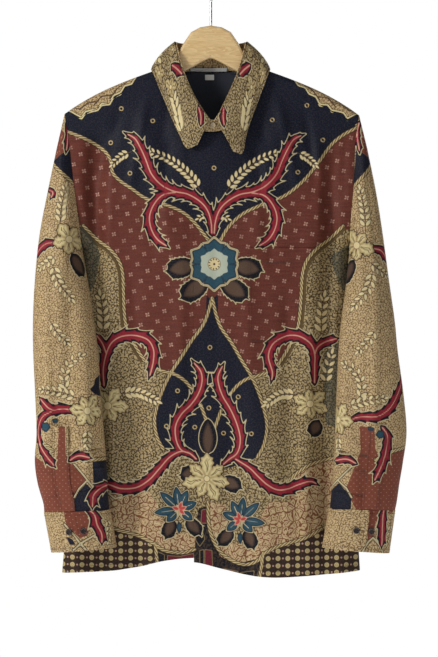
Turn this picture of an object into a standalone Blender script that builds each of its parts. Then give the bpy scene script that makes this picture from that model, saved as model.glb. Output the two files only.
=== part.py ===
"""Long-sleeved batik shirt hanging on a wooden hanger.

Frame: metres, +Z up, front towards -Y, +X to the viewer's right, origin at the inside top of the hook.
The tables below are in millimetres. "right" and "left" in a name are the wearer's, so the wearer's
right front is at -X. Every cloth piece is a thin wall between two skins: the outer one lies on the
garment's form and the inner one is set in by the wall, along normals that neighbours share, so that
seams stay evenly open.
"""

import math

import bmesh
import bpy
import numpy as np
from mathutils import Vector

MM = 0.001

# --- Driving sizes, mm ------------------------------------------------------------------------------
CLOTH = 1.2  # wall of one layer of cotton with its seam allowances
FUSED = 1.8  # wall of the interfaced collar, stand and cuffs
GAP = 0.3  # between neighbouring pieces at a seam
LAYER_GAP = 0.4  # between pieces that lie on each other
ARMHOLE_INSET = 0.28  # of trunk and sleeve from the armhole line, whose chords differ

WOOD_TOP = -96.0  # top of the wood below the hook's inside top
SHOULDER_X = 88.0  # where the collar's edge meets the shoulder line
SHOULDER_Z = -164.5
SHOULDER_SLOPE = 0.36
SHOULDER_DROOP = 7.3e-6  # the shoulder line bends down with the cube of the distance
RIDGE_RADIUS = 9.0  # cloth rounding over the hanger's arm
ARMHOLE_TOP_Z = -229.0
UNDERARM_Z = -430.0
NECK_HALF = 76.0
NECK_FRONT_Z = -259.0
NECK_BACK_Z = -164.0
YOKE_FRONT_SLOPE = 0.57
YOKE_FRONT_Z = -172.8  # front yoke seam at SHOULDER_X
YOKE_BACK_Z = -252.0
YOKE_NECK_COLUMNS = (-74.5, -71, -64, -50, -32, -11, 11, 32, 50, 64, 71, 74.5)
OVERLAP_EDGE_X = -25.0  # edge of the upper front, past the centre line
UNDERLAP_EDGE_X = 13.0

# Width of the trunk at the armhole or side seam, and its depth before and behind the shoulder line.
TRUNK_COLUMNS = ("z", "right_x", "left_x", "front_y", "back_y")
TRUNK = (
    (-130, -222, 224, 12, 12),
    (-229, -219, 222, 20, 19),
    (-256, -214.5, 217.5, 24, 23),
    (-332, -205, 213, 32, 30),
    (-400, -195.5, 207.5, 37, 34),
    (-430, -191, 204, 38, 35),
    (-441, -188.5, 204, 38, 35),
    (-455, -188.5, 205.5, 38, 35),
    (-480, -191, 207.5, 38, 36),
    (-540, -197, 209.5, 39, 37),
    (-650, -204, 212.5, 40, 39),
    (-780, -212, 216, 42, 41),
    (-925, -224, 224, 45, 43),
)

# Height of the hem along the front and the back.
HEM_COLUMNS = ("x", "under_z", "upper_z", "back_z")
HEM = (
    (-224, -915.5, -915, -913),
    (-136, -908.5, -909, -908),
    (-108, -904, -906, -905),
    (-76, -896, -901, -898.5),
    (-25, -890.5, -897, -894),
    (19, -889, -907.5, -900),
    (65, -890, -917.5, -905),
    (90, -890, -919.5, -906),
    (148, -891, -917.5, -908),
    (224, -893, -912, -911),
)

# Outer and inner edge of each sleeve from the armhole to the cuff: one row for each section.
SLEEVE_COLUMNS = (
    "right_outer_x", "right_outer_z", "right_inner_x", "right_inner_z",
    "left_outer_x", "left_outer_z", "left_inner_x", "left_inner_z",
    "centre_y", "half_depth",
)
SLEEVE = (
    (-231.0, -280, -191.0, -439, 234.0, -280, 206.5, -439, -4, 31),
    (-245.0, -350, -188.5, -453, 247.5, -350, 205.0, -453, -13, 33),
    (-255.8, -412, -185.0, -471, 256.5, -412, 202.5, -471, -25, 34),
    (-261.8, -478, -180.0, -497, 264.8, -478, 199.5, -495, -37, 34),
    (-264.0, -538, -174.0, -536, 272.7, -538, 193.5, -536, -47, 33),
    (-263.3, -586, -167.3, -582, 276.8, -583, 189.0, -583, -53, 32),
    (-260.3, -646, -163.0, -646, 285.0, -646, 186.0, -644, -57, 31),
    (-258.0, -703, -158.3, -703, 289.5, -703, 183.8, -700, -60, 31),
    (-260.5, -745, -155.0, -740, 284.0, -748, 181.5, -743, -61, 31),
    (-256.5, -778, -153.0, -778, 279.0, -778, 179.3, -778, -61, 31),
    (-248.0, -808, -151.5, -800, 275.0, -806, 177.5, -800, -61, 29),
    (-246.5, -821, -150.5, -817, 272.5, -818, 176.0, -815, -61, 27.5),
)
CUFF_TOP = {"right": (-246.5, -821.5, -150.3, -817.4), "left": (272.3, -818.5, 176.0, -815.4)}
CUFF_END = {"right": (-235.5, -881.0, -141.0, -873.0), "left": (263.5, -882.0, 166.0, -873.5)}
CUFF_HALF_DEPTH = 27.0
CUFF_LAP_DEG = 34.0
CUFF_EDGE_DEG = {"right": 82.0, "left": 78.0}

# Largest folds of the trunk: each runs from its top to its bottom; height is outwards, minus is a trough.
FOLD_COLUMNS = ("top_x", "top_z", "end_x", "end_z", "half_width", "height")
FRONT_FOLDS = (
    (-176, -300, -166, -860, 13, -7.0),
    (-150, -330, -141, -900, 16, 4.5),
    (176, -270, 170, -860, 14, -8.0),
    (150, -300, 146, -900, 16, 5.0),
    (-110, -200, -60, -420, 15, 3.5),
    (112, -200, 70, -400, 15, 3.5),
    (-75, -560, -80, -915, 20, 4.5),
    (80, -600, 84, -920, 24, 6.0),
    (30, -640, 22, -915, 15, -4.0),
    (-118, -620, -118, -912, 14, -4.0),
    (195, -640, 200, -915, 12, 5.0),
)
BACK_FOLDS = (
    (-120, -300, -128, -900, 20, 6.0),
    (-60, -340, -66, -905, 18, -5.0),
    (0, -300, 6, -905, 22, 6.0),
    (64, -340, 70, -905, 18, -5.0),
    (124, -300, 130, -900, 20, 6.0),
    (-168, -420, -172, -900, 14, -5.0),
    (170, -420, 176, -900, 14, -5.0),
)

# Collar from the centre back (station 0) round to the centre front (station 5): the fold line and the
# outer edge of the fall on each side. y is negative in front.
COLLAR_COLUMNS = (
    "station", "fold_x", "fold_y", "fold_z",
    "right_edge_x", "right_edge_z", "left_edge_x", "left_edge_z", "edge_y",
)
COLLAR = (
    (0.0, 0, 29, -124, 0, -171, 0, -171, 37),
    (1.0, 34, 22, -122, 58, -170, 58, -170, 30),
    (1.6, 50, 11, -120.5, 83, -164, 83, -164, 17),
    (2.0, 55, 2, -120, 90, -161, 89, -161, 1),
    (2.4, 53, -8, -130, 85, -172, 85, -172, -16),
    (3.0, 45, -20, -160, 71, -207, 72, -207, -22),
    (4.0, 25, -32, -206, 47, -262, 53, -262, -34),
    (4.5, 14, -36, -225, 36, -282, 47, -289, -39),
    (5.0, 4, -38, -239, 20, -277, 33, -287, -41),
)
COLLAR_STATIONS = (
    0.5, 0.95, 1.35, 1.6, 1.8, 1.9, 2.0, 2.1, 2.2, 2.4, 2.7, 3.0, 3.4, 3.8, 4.15, 4.5, 4.75, 5.0,
)
COLLAR_ROLL = 5.0  # how far the fall bows out between its fold and its edge
STAND_LAP = 0.45  # stations by which the upper end of the stand passes the centre
STAND_BELOW_FOLD = 1.2
NECK_LIFT = 1.9  # of the stand's foot over the neckline
NECK_INSIDE = 2.4  # how far the foot stays inside the neckline at the shoulder
STAND_CENTRE = (0.0, -6.0)

# The pocket covers whole cells of the left front's grid, from row and column to row and column.
POCKET_ROWS = (8, 13)
POCKET_COLUMNS = (2, 9)

COLLAR_BUTTON = (3.0, -247.5)  # x, z

HANGER_HALF_Y = 5.5
HANGER_ROUND = 4.5
HANGER_TIP_X = 214.0
HANGER_CLEARANCE = 0.8  # the rounded edges come within 0.3 mm of the cloth
HANGER_SLOPE_CLEARANCE = 2.0
HANGER_COLUMNS = ("x", "top_z", "under_z")
HANGER = (
    (0, WOOD_TOP, -144),
    (16, -98.5, -152),
    (30, -106, -160),
    (42, -124, -167),
    (54, -146, -174),
    (73, -165, -183.5),
)
HANGER_ARM_HEIGHT = 25.0
HOOK_WIRE = 1.7
HOOK_RADIUS = 23.7


# --- Small tools ------------------------------------------------------------------------------------
def column(table, names, name):
    return np.array([row[names.index(name)] for row in table], float)


def smooth(xs, ys, x):
    """Cubic Hermite through the table, with tangents from the neighbours and flat runs past its ends."""
    xs, ys = np.asarray(xs, float), np.asarray(ys, float)
    if xs[0] > xs[-1]:
        xs, ys = xs[::-1], ys[::-1]
    slopes = np.gradient(ys, xs)
    x = np.clip(x, xs[0], xs[-1])
    i = np.clip(np.searchsorted(xs, x) - 1, 0, len(xs) - 2)
    span = xs[i + 1] - xs[i]
    t = (x - xs[i]) / span
    return (
        (2 * t**3 - 3 * t**2 + 1) * ys[i]
        + (t**3 - 2 * t**2 + t) * span * slopes[i]
        + (3 * t**2 - 2 * t**3) * ys[i + 1]
        + (t**3 - t**2) * span * slopes[i + 1]
    )


def trunk(z, name):
    return smooth(column(TRUNK, TRUNK_COLUMNS, "z"), column(TRUNK, TRUNK_COLUMNS, name), z)


def ease(low, high, x):
    """0 below low, 1 above high, smooth between."""
    t = np.clip((x - low) / (high - low), 0, 1)
    return t * t * (3 - 2 * t)


def mix(a, b, t):
    return a + (b - a) * t


# --- The trunk's form -------------------------------------------------------------------------------
def ridge_z(x):
    """Height of the shoulder line."""
    out = np.abs(x) - SHOULDER_X
    return SHOULDER_Z - SHOULDER_SLOPE * out - SHOULDER_DROOP * np.maximum(out, 0) ** 3


def armhole_share(z):
    """How far the sheets stand open at the armhole: 0 at the underarm and below, near 1 at the shoulder."""
    up = np.clip((z - UNDERARM_Z) / 110.0, 0, 1)
    return 0.93 * np.sqrt(1 - (1 - up) ** 2)


def half_and_centre(z):
    right, left = trunk(z, "right_x"), trunk(z, "left_x")
    return (left - right) / 2, (left + right) / 2


def stretch(z):
    """Half width of the whole oval whose cut at the armhole gives the sheet."""
    half, _ = half_and_centre(z)
    return half / (1 - armhole_share(z) ** 2) ** 0.4


def fold_height(folds, x, z):
    total = np.zeros(np.broadcast(x, z).shape)
    for row in folds:
        fold = dict(zip(FOLD_COLUMNS, row))
        down = (fold["top_z"] - z) / (fold["top_z"] - fold["end_z"])
        along = ease(0.0, 0.25, down) * (1 - ease(0.94, 1.25, down))
        off = x - mix(fold["top_x"], fold["end_x"], down)
        total += fold["height"] * along * np.exp(-((off / fold["half_width"]) ** 2))
    return total


def sheet_point(back, phi, z):
    """Point of the front or back sheet; phi runs from 0 at the wearer's right side to pi at the left."""
    _, centre = half_and_centre(z)
    across = -np.sign(np.cos(phi)) * np.abs(np.cos(phi)) ** 0.8
    x = centre + stretch(z) * across
    below = ridge_z(x) - z
    into = np.clip(below, 0, RIDGE_RADIUS)
    wrap = np.sqrt(np.maximum(RIDGE_RADIUS**2 - (RIDGE_RADIUS - into) ** 2, 0))
    reach = trunk(z, "back_y" if back else "front_y")
    hang = 1 - np.exp(-(np.maximum(below - RIDGE_RADIUS, 0) / 95.0) ** 1.4)
    side = np.sin(phi)
    blunt = mix(1.0, 0.3, ease(UNDERARM_Z, ARMHOLE_TOP_Z, z))
    y = wrap * np.sign(side) * np.abs(side) ** blunt + (reach - RIDGE_RADIUS) * hang * side
    if back:
        y = y + 13 * np.exp(-((x / 62) ** 2) - (np.maximum(below - 20, 0) / 120) ** 2) * ease(4, 30, below)
    else:
        y = y + 9 * np.exp(-((x / 60) ** 2) - (np.maximum(below - 110, 0) / 110) ** 2) * ease(30, 110, below)
    half, _ = half_and_centre(z)
    rim = 1 - ease(0.84, 0.98, np.abs(x - centre) / half)
    open_below = ease(15, 70, below)
    y = y + fold_height(BACK_FOLDS if back else FRONT_FOLDS, x, z) * rim * open_below
    return np.stack([x, y if back else -y, np.broadcast_to(z, x.shape)], -1)


def phi_at(x, z):
    _, centre = half_and_centre(z)
    across = np.clip((x - centre) / stretch(z), -1, 1)
    phi = np.arccos(np.abs(across) ** 1.25)
    return np.where(across > 0, math.pi - phi, phi)


def unit(vectors):
    return vectors / np.maximum(np.linalg.norm(vectors, axis=-1, keepdims=True), 1e-9)


def sheet(back, x, z):
    """Points and outward normals of a sheet at the given x and z."""
    phi, step_phi, step_z = phi_at(x, z), 0.01, 1.0
    around = sheet_point(back, phi + step_phi, z) - sheet_point(back, phi - step_phi, z)
    up = sheet_point(back, phi, z + step_z) - sheet_point(back, phi, z - step_z)
    normal = unit(np.cross(around, up))
    return sheet_point(back, phi, z), -normal if back else normal


# --- Walls ------------------------------------------------------------------------------------------
def material(name, colour, roughness, metallic=0.0):
    made = bpy.data.materials.new(name)
    made.use_nodes = True
    shader = made.node_tree.nodes["Principled BSDF"]
    shader.inputs["Base Color"].default_value = (*colour, 1)
    shader.inputs["Roughness"].default_value = roughness
    shader.inputs["Metallic"].default_value = metallic
    return made


def add_object(name, mesh, finish):
    obj = bpy.data.objects.new(name, mesh)
    mesh.materials.append(finish)
    mesh.shade_smooth()
    shirt.objects.link(obj)
    return obj


def wall(name, outer, normals, thickness, finish, tube=False):
    """A closed wall on a grid of outer points (rows, columns, xyz), its inner skin set in by thickness."""
    inner = outer - normals * thickness
    rows, columns = outer.shape[:2]
    mesh = bmesh.new()
    skins = []
    for grid in (outer, inner):
        skins.append([[mesh.verts.new(grid[r, c] * MM) for c in range(columns)] for r in range(rows)])
    across = columns if tube else columns - 1
    for skin, turned in zip(skins, (False, True)):
        for r in range(rows - 1):
            for c in range(across):
                d = (c + 1) % columns
                a, b, e, f = skin[r][c], skin[r + 1][c], skin[r + 1][d], skin[r][d]
                for face in ((a, b, e), (a, e, f)):
                    mesh.faces.new(face[::-1] if turned else face)
    rims = []
    last = rows - 1
    for c in range(across):
        d = (c + 1) % columns
        rims.append((0, c, 0, d))
        rims.append((last, d, last, c))
    if not tube:
        for r in range(last):
            rims.append((r + 1, 0, r, 0))
            rims.append((r, columns - 1, r + 1, columns - 1))
    for r, c, s, d in rims:
        mesh.faces.new((skins[0][r][c], skins[0][s][d], skins[1][s][d], skins[1][r][c]))
    bmesh.ops.recalc_face_normals(mesh, faces=mesh.faces)
    data = bpy.data.meshes.new(name)
    mesh.to_mesh(data)
    mesh.free()
    return add_object(name, data, finish)


def grid_normals(points, outwards, tube=False):
    """Unit normals of a grid from its own points, turned to the side that outwards points to."""
    if tube:
        around = np.roll(points, -1, 1) - np.roll(points, 1, 1)
    else:
        around = np.gradient(points, axis=1)
    normals = unit(np.cross(around, np.gradient(points, axis=0)))
    return normals * np.sign(np.sum(normals * outwards, -1, keepdims=True))


# --- Fronts, back and yoke --------------------------------------------------------------------------
def front_top_z(x):
    """Upper edge of a front: the yoke seam, then the neckline."""
    out = np.abs(x)
    seam = YOKE_FRONT_Z - YOKE_FRONT_SLOPE * (out - SHOULDER_X)
    side = YOKE_FRONT_Z - YOKE_FRONT_SLOPE * (NECK_HALF - SHOULDER_X)
    neck = side + (NECK_FRONT_Z - side) * np.sqrt(np.maximum(1 - (out / NECK_HALF) ** 2, 0))
    return np.where(out >= NECK_HALF, seam, neck)


def back_neck_z(x):
    return mix(NECK_BACK_Z, ridge_z(NECK_HALF), ease(66, NECK_HALF, np.abs(x)))


def hem(name, x):
    return smooth(column(HEM, HEM_COLUMNS, "x"), column(HEM, HEM_COLUMNS, name), x)


def panel_grid(top_z, side_z, hem_z, rows):
    """Heights of a panel's grid: rows[0] rows down to the underarm and rows[1] below it."""
    down = np.linspace(0, 1, rows[0] + 1)[:, None]
    below = np.linspace(0, 1, rows[1] + 1)[1:, None]
    z = np.vstack([mix(top_z, UNDERARM_Z, down), mix(UNDERARM_Z, hem_z, below)])
    at_side = np.vstack([mix(side_z, UNDERARM_Z, down), mix(UNDERARM_Z, hem_z[0], below)])
    return z, at_side


def close_side(points, z_side, index, back):
    """Leaves half a seam's gap along the side seam."""
    below = z_side[:, 0] <= UNDERARM_Z
    points[below, index, 1] = GAP / 2 if back else -GAP / 2


def front_grid(side, rows=(8, 14), columns=14):
    edge, hem_name = (UNDERLAP_EDGE_X, "under_z") if side == "right" else (OVERLAP_EDGE_X, "upper_z")
    inwards = ARMHOLE_INSET if side == "right" else -ARMHOLE_INSET
    side_name = side + "_x"
    seam_side_z = -246.0
    across = np.linspace(0, 1, columns) ** 0.9
    top_x = mix(trunk(seam_side_z, side_name) + inwards, edge, across)
    top_z = front_top_z(top_x) - GAP / 2
    z, at_side = panel_grid(top_z, top_z[0], hem(hem_name, mix(trunk(-915.0, side_name), edge, across)), rows)
    x = mix(trunk(at_side, side_name) + inwards * (at_side > UNDERARM_Z), edge, across[None, :])
    points, normals = sheet(False, x, z)
    close_side(points, at_side, 0, False)
    if side == "right":
        under = (CLOTH + 2 * LAYER_GAP) * ease(OVERLAP_EDGE_X - 20, OVERLAP_EDGE_X - 4, x)
        points[..., 1] += under
    return points, normals


def make_front(side, finish):
    points, normals = front_grid(side)
    wall("front_" + side, points, normals, CLOTH, finish)


def make_back(finish, rows=(7, 13), columns=20):
    across = np.linspace(0, 1, columns)
    right, left = trunk(YOKE_BACK_Z, "right_x"), trunk(YOKE_BACK_Z, "left_x")
    top_z = np.full(columns, YOKE_BACK_Z - GAP / 2)
    hem_x = mix(trunk(-915.0, "right_x"), trunk(-915.0, "left_x"), across)
    z, at_side = panel_grid(top_z, top_z[0], hem("back_z", hem_x), rows)
    inset = ARMHOLE_INSET * (at_side > UNDERARM_Z)
    x = mix(trunk(at_side, "right_x") + inset, trunk(at_side, "left_x") - inset, across[None, :])
    points, normals = sheet(True, x, z)
    close_side(points, at_side, 0, True)
    close_side(points, at_side, columns - 1, True)
    wall("back", points, normals, CLOTH, finish)


def over_shoulder(x, path):
    """Point of the trunk by its path length from the shoulder line, forwards positive."""
    length = np.abs(path)
    quarter = RIDGE_RADIUS * math.pi / 2
    turned = RIDGE_RADIUS * (1 - np.cos(np.minimum(length, quarter) / RIDGE_RADIUS))
    z = ridge_z(x) - turned - np.maximum(length - quarter, 0)
    phi = phi_at(x, z)
    return np.where((path < 0)[..., None], sheet_point(True, phi, z), sheet_point(False, phi, z))


def path_to(x, z):
    below = ridge_z(x) - z
    quarter = RIDGE_RADIUS * math.pi / 2
    turned = RIDGE_RADIUS * np.arccos(np.clip(1 - below / RIDGE_RADIUS, -1, 1))
    return np.where(below < RIDGE_RADIUS, turned, quarter + below - RIDGE_RADIUS)


def shoulder_sheet(x, path):
    points = over_shoulder(x, path)
    around = over_shoulder(x + 0.5, path) - over_shoulder(x - 0.5, path)
    along = over_shoulder(x, path + 0.5) - over_shoulder(x, path - 0.5)
    normals = unit(np.cross(around, along))
    front_or_back = np.where(path > 0, -1, 1)[..., None]
    return points, normals * np.sign(normals[..., 2:3] + front_or_back * normals[..., 1:2])


def make_yoke(finish):
    arm = np.linspace(0, 1, 8)
    right, left = trunk(ARMHOLE_TOP_Z, "right_x"), trunk(ARMHOLE_TOP_Z, "left_x")
    columns = np.concatenate(
        [mix(right, -NECK_HALF - 1, arm), YOKE_NECK_COLUMNS, mix(NECK_HALF + 1, left, arm)]
    )
    start = -path_to(columns, np.full(len(columns), YOKE_BACK_Z + GAP / 2))
    to_front = path_to(columns, front_top_z(columns) + GAP / 2)
    to_neck = -path_to(columns, back_neck_z(columns))
    end = np.where(np.abs(columns) > NECK_HALF, to_front, to_neck)
    bend = RIDGE_RADIUS * math.pi / 2
    to_bend = mix(start, -bend, np.array([[0.0], [0.4], [0.75]]))
    over = np.vstack(
        [
            to_bend,
            np.broadcast_to(np.linspace(-bend, bend, 7)[:-1, None], (6, len(columns))),
            mix(bend * 2 / 3, end, np.array([[0.33], [0.66], [1.0]])),
        ]
    )
    round_neck = np.vstack([to_bend, mix(-bend, end, np.linspace(0, 1, 9)[:, None])])
    behind_neck = mix(start, end, np.linspace(0, 1, 12)[:, None])
    path = np.where(np.abs(columns) > NECK_HALF, over, np.where(end > -bend, round_neck, behind_neck))
    x = np.broadcast_to(columns, path.shape).copy()
    for index, name, inset in ((0, "right_x", ARMHOLE_INSET), (-1, "left_x", -ARMHOLE_INSET)):
        # The armhole's edge isn't upright: follow it, at the height that the path reaches there.
        for _ in range(3):
            x[:, index] = trunk(over_shoulder(x, path)[:, index, 2], name) + inset
    points, normals = shoulder_sheet(x, path)
    wall("yoke", points, normals, CLOTH, finish)


# --- Sleeves, plackets and cuffs --------------------------------------------------------------------
def armhole_ring(side, turn):
    """Seam between trunk and sleeve; turn is 0 at the shoulder, pi at the underarm, positive in front."""
    name = side + "_x"
    top = ridge_z(trunk(ARMHOLE_TOP_Z, name))
    z = mix(UNDERARM_Z, top, (1 + np.cos(turn)) / 2)
    x = trunk(z, name)
    phi = phi_at(x, z)
    front, back = sheet_point(False, phi, z), sheet_point(True, phi, z)
    y = np.where(np.sin(turn) > 0, front[..., 1], back[..., 1])
    y = np.where(np.abs(np.sin(turn)) < 1e-6, 0, y)
    outwards = -ARMHOLE_INSET if side == "right" else ARMHOLE_INSET
    return np.stack([x + outwards, y, z], -1)


def sleeve_point(side, station, turn):
    """Station 0 is the armhole; the rows of SLEEVE are at 1 and on."""
    stations = np.arange(1, len(SLEEVE) + 1)
    part = {}
    for name in SLEEVE_COLUMNS:
        part[name] = smooth(stations, column(SLEEVE, SLEEVE_COLUMNS, name), np.maximum(station, 1))
    outer = np.stack([part[side + "_outer_x"], part[side + "_outer_z"]], -1)
    inner = np.stack([part[side + "_inner_x"], part[side + "_inner_z"]], -1)
    flat = mix(inner, outer, ((1 + np.cos(turn)) / 2)[..., None])
    sine = np.sin(turn)
    y = part["centre_y"] - part["half_depth"] * np.sign(sine) * np.abs(sine) ** 0.9
    ring = np.stack([flat[..., 0], y, flat[..., 1]], -1)
    return np.where((station < 1)[..., None], mix(armhole_ring(side, turn), ring, station[..., None]), ring)


def ring_normals(points):
    """Normals within each ring's own plane, so that a ring's wall keeps its end flat."""
    along = np.roll(points, -1, 1) - np.roll(points, 1, 1)
    axis = points[:, [0]] - points[:, [points.shape[1] // 2]]
    plane = unit(np.cross(axis, np.array([0.0, 1.0, 0.0])))
    normals = unit(np.cross(along, np.broadcast_to(plane, along.shape)))
    centre = points.mean(axis=1, keepdims=True)
    return normals * np.sign(np.sum(normals * (points - centre), -1, keepdims=True))


def make_sleeve(side, finish, around=18):
    turn, station = np.meshgrid(np.arange(around) * 2 * math.pi / around, np.arange(len(SLEEVE) + 1.0))
    points = sleeve_point(side, station, turn)
    wall("sleeve_" + side, points, ring_normals(points), CLOTH, finish, tube=True)


def make_placket(side, finish):
    turns = np.radians({"right": (62.0, 88.0), "left": (66.0, 94.0)}[side])
    turn, station = np.meshgrid(np.linspace(*turns, 4), np.linspace(7.8, len(SLEEVE) - 0.08, 7))
    points = sleeve_point(side, station, turn)
    normals = grid_normals(points, np.broadcast_to([0.0, -1.0, 0.0], points.shape))
    thickness = 1.1
    outer = points + normals * (LAYER_GAP + 0.15 + thickness)
    wall("sleeve_placket_" + side, outer, normals, thickness, finish)


def cuff_ring(side, down, turn, out):
    """Point of a cuff: down is 0 at its sleeve seam and 1 at its free edge; out is moved outwards."""
    top, end = np.array(CUFF_TOP[side]), np.array(CUFF_END[side])
    edges = mix(top, end, np.asarray(down)[..., None])
    outer, inner = edges[..., 0:2], edges[..., 2:4]
    middle, half = (outer + inner) / 2, (outer - inner) / 2
    length = np.linalg.norm(half, axis=-1)
    flat = middle + half * ((np.cos(turn) * (length + out)) / length)[..., None]
    sine = np.sin(turn)
    y = SLEEVE[-1][SLEEVE_COLUMNS.index("centre_y")] - (CUFF_HALF_DEPTH + out) * sine
    return np.stack([flat[..., 0], y, flat[..., 1]], -1)


def cuff_turns(side, columns):
    start = CUFF_EDGE_DEG[side] + CUFF_LAP_DEG
    return np.radians(np.linspace(start, start - 360 - CUFF_LAP_DEG, columns))


def make_cuff(side, finish, columns=26):
    step = FUSED + LAYER_GAP
    turn, down = np.meshgrid(cuff_turns(side, columns), np.linspace(0, 1, 3))
    out = step * (turn[0, 0] - turn) / (2 * math.pi)
    points = cuff_ring(side, down, turn, out)
    centre = cuff_ring(side, down, turn + math.pi, out)
    around = cuff_ring(side, down, turn + 0.01, out) - cuff_ring(side, down, turn - 0.01, out)
    axis = cuff_ring(side, down + 0.1, turn, out) - cuff_ring(side, down - 0.1, turn, out)
    normals = unit(np.cross(around, axis))
    normals *= np.sign(np.sum(normals * (points - centre), -1, keepdims=True))
    wall("cuff_" + side, points, normals, FUSED, finish)


# --- Collar -----------------------------------------------------------------------------------------
def collar_column(name, station):
    return smooth(column(COLLAR, COLLAR_COLUMNS, "station"), column(COLLAR, COLLAR_COLUMNS, name), station)


def collar_stations():
    half = np.array(COLLAR_STATIONS)
    return np.concatenate([-half[::-1], [1e-9], half])


def fold_line(station):
    """Top of the collar; station is negative on the wearer's right."""
    away = np.abs(station)
    x = np.sign(station) * collar_column("fold_x", away)
    x = x + 2.5 * ease(4.0, 5.0, away)
    return np.stack([x, collar_column("fold_y", away), collar_column("fold_z", away)], -1)


def fall_edge(station):
    away = np.abs(station)
    left = station > 0
    x = np.where(left, collar_column("left_edge_x", away), -collar_column("right_edge_x", away))
    z = np.where(left, collar_column("left_edge_z", away), collar_column("right_edge_z", away))
    return np.stack([x, collar_column("edge_y", away), z], -1)


def horizontal_from(points, centre):
    """Level unit vectors from an upright axis to the points."""
    away = points - [*centre, 0]
    away[..., 2] = 0
    return unit(away)


def neck_seam(station):
    """Foot of the stand: just above the neckline of the yoke and fronts."""
    known = np.array([0.0, 0.5, 1.0, 1.5, 1.8, 2.0, 2.2, 2.5, 3.0, 3.5, 4.0, 4.5, 5.0])
    rows = []
    inside = (NECK_HALF - NECK_INSIDE) / NECK_HALF
    for at in known:
        if at < 2.0:
            x = NECK_HALF * math.sin(math.pi / 4 * at)
            point = sheet(True, np.array(x), back_neck_z(np.array(x)))[0]
        elif at < 2.3:
            point = over_shoulder(np.array(NECK_HALF), np.array((at - 2.0) * 50))
        else:
            x = NECK_HALF * math.cos(math.pi / 2 * (at - 2.2) / 2.8)
            point = sheet(False, np.array(x), front_top_z(np.array(x - 1e-6)))[0]
        x, y = STAND_CENTRE[0] + (point[0] - STAND_CENTRE[0]) * inside, point[1]
        if at < 2:
            y = STAND_CENTRE[1] + (y - STAND_CENTRE[1]) * inside
        rows.append([x, y, point[2] + NECK_LIFT])
    rows = np.array(rows)
    away = np.abs(station)
    x, y, z = (smooth(known, rows[:, i], away) for i in range(3))
    return np.stack([np.sign(station) * x, y, z], -1)


def stand_grid(station, rows=4):
    """The stand between its foot and the fold; past station 5 it laps over its own other end."""
    past = np.maximum(station - 5, 0)
    mirrored = np.where(past > 0, past - 5, station)
    mirrored = np.where(np.abs(mirrored) < 1e-9, 1e-9, mirrored)
    foot, top = neck_seam(mirrored), fold_line(mirrored)
    outwards = horizontal_from(top, STAND_CENTRE)
    layer = FUSED + 3.5 * LAYER_GAP
    top = top - outwards * layer - [0, 0, STAND_BELOW_FOLD]
    points = mix(foot, top, np.linspace(0, 1, rows)[:, None, None])
    under = layer * (1 - ease(-5 + STAND_LAP, -5 + 3 * STAND_LAP, station))
    return points - outwards * under[:, None], np.broadcast_to(outwards, points.shape)


def make_stand(finish):
    lapped = 5 + STAND_LAP * np.array([0.5, 1.0])
    points, outwards = stand_grid(np.concatenate([collar_stations(), lapped]))
    wall("collar_stand", points, grid_normals(points, outwards), FUSED, finish)


def fall_grid(rows=6):
    station = collar_stations()
    fold, edge = fold_line(station), fall_edge(station)
    down = np.linspace(0, 1, rows)[:, None, None]
    outwards = horizontal_from(fold, STAND_CENTRE)
    bow = 4 * down * (1 - down) * COLLAR_ROLL
    points = mix(fold, edge, down) + outwards * bow
    facing = np.broadcast_to(outwards + [0, 0, 0.6], points.shape)
    return points, grid_normals(points, facing)


def make_collar(finish):
    points, normals = fall_grid()
    wall("collar", points, normals, FUSED, finish)


# --- What lies on the panels ------------------------------------------------------------------------
def make_pocket(finish):
    points, normals = front_grid("left")
    rows, columns = slice(*POCKET_ROWS), slice(*POCKET_COLUMNS)
    points, normals = points[rows, columns].copy(), normals[rows, columns]
    wall("chest_pocket", points + normals * (LAYER_GAP + CLOTH), normals, CLOTH, finish)


def make_strip(name, x_range, z_range, behind, thickness, finish):
    """A strip inside the back neck: behind is how far its outer skin lies in front of the back sheet."""
    x, z = np.meshgrid(np.linspace(*x_range, 7), np.linspace(*z_range, 2))
    points, _ = sheet(True, x, z)
    points[..., 1] -= behind
    normals = np.broadcast_to([0.0, 1.0, 0.0], points.shape)
    wall(name, points, normals, thickness, finish)


def make_button(name, centre, facing, radius, finish, thickness=2.6, segments=14):
    """A round four-hole button's body: a disc with a rounded rim and a sunk middle."""
    mesh = bmesh.new()
    profile = (
        (radius * 0.86, 0.0),
        (radius, thickness * 0.35),
        (radius * 0.97, thickness * 0.8),
        (radius * 0.84, thickness),
        (radius * 0.64, thickness * 0.9),
        (radius * 0.58, thickness * 0.68),
    )
    rings = []
    for ring_radius, height in profile:
        ring = []
        for i in range(segments):
            angle = 2 * math.pi * i / segments
            around = Vector((math.cos(angle), math.sin(angle), 0)) * ring_radius
            ring.append(mesh.verts.new((around + Vector((0, 0, height))) * MM))
        rings.append(ring)
    for low, high in zip(rings, rings[1:]):
        for i in range(segments):
            j = (i + 1) % segments
            mesh.faces.new((low[i], low[j], high[j], high[i]))
    mesh.faces.new(rings[0][::-1])
    mesh.faces.new(rings[-1])
    data = bpy.data.meshes.new(name)
    mesh.to_mesh(data)
    mesh.free()
    button = add_object(name, data, finish)
    button.location = [value * MM for value in centre]
    button.rotation_mode = "QUATERNION"
    button.rotation_quaternion = Vector(facing).to_track_quat("Z", "Y")


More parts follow.
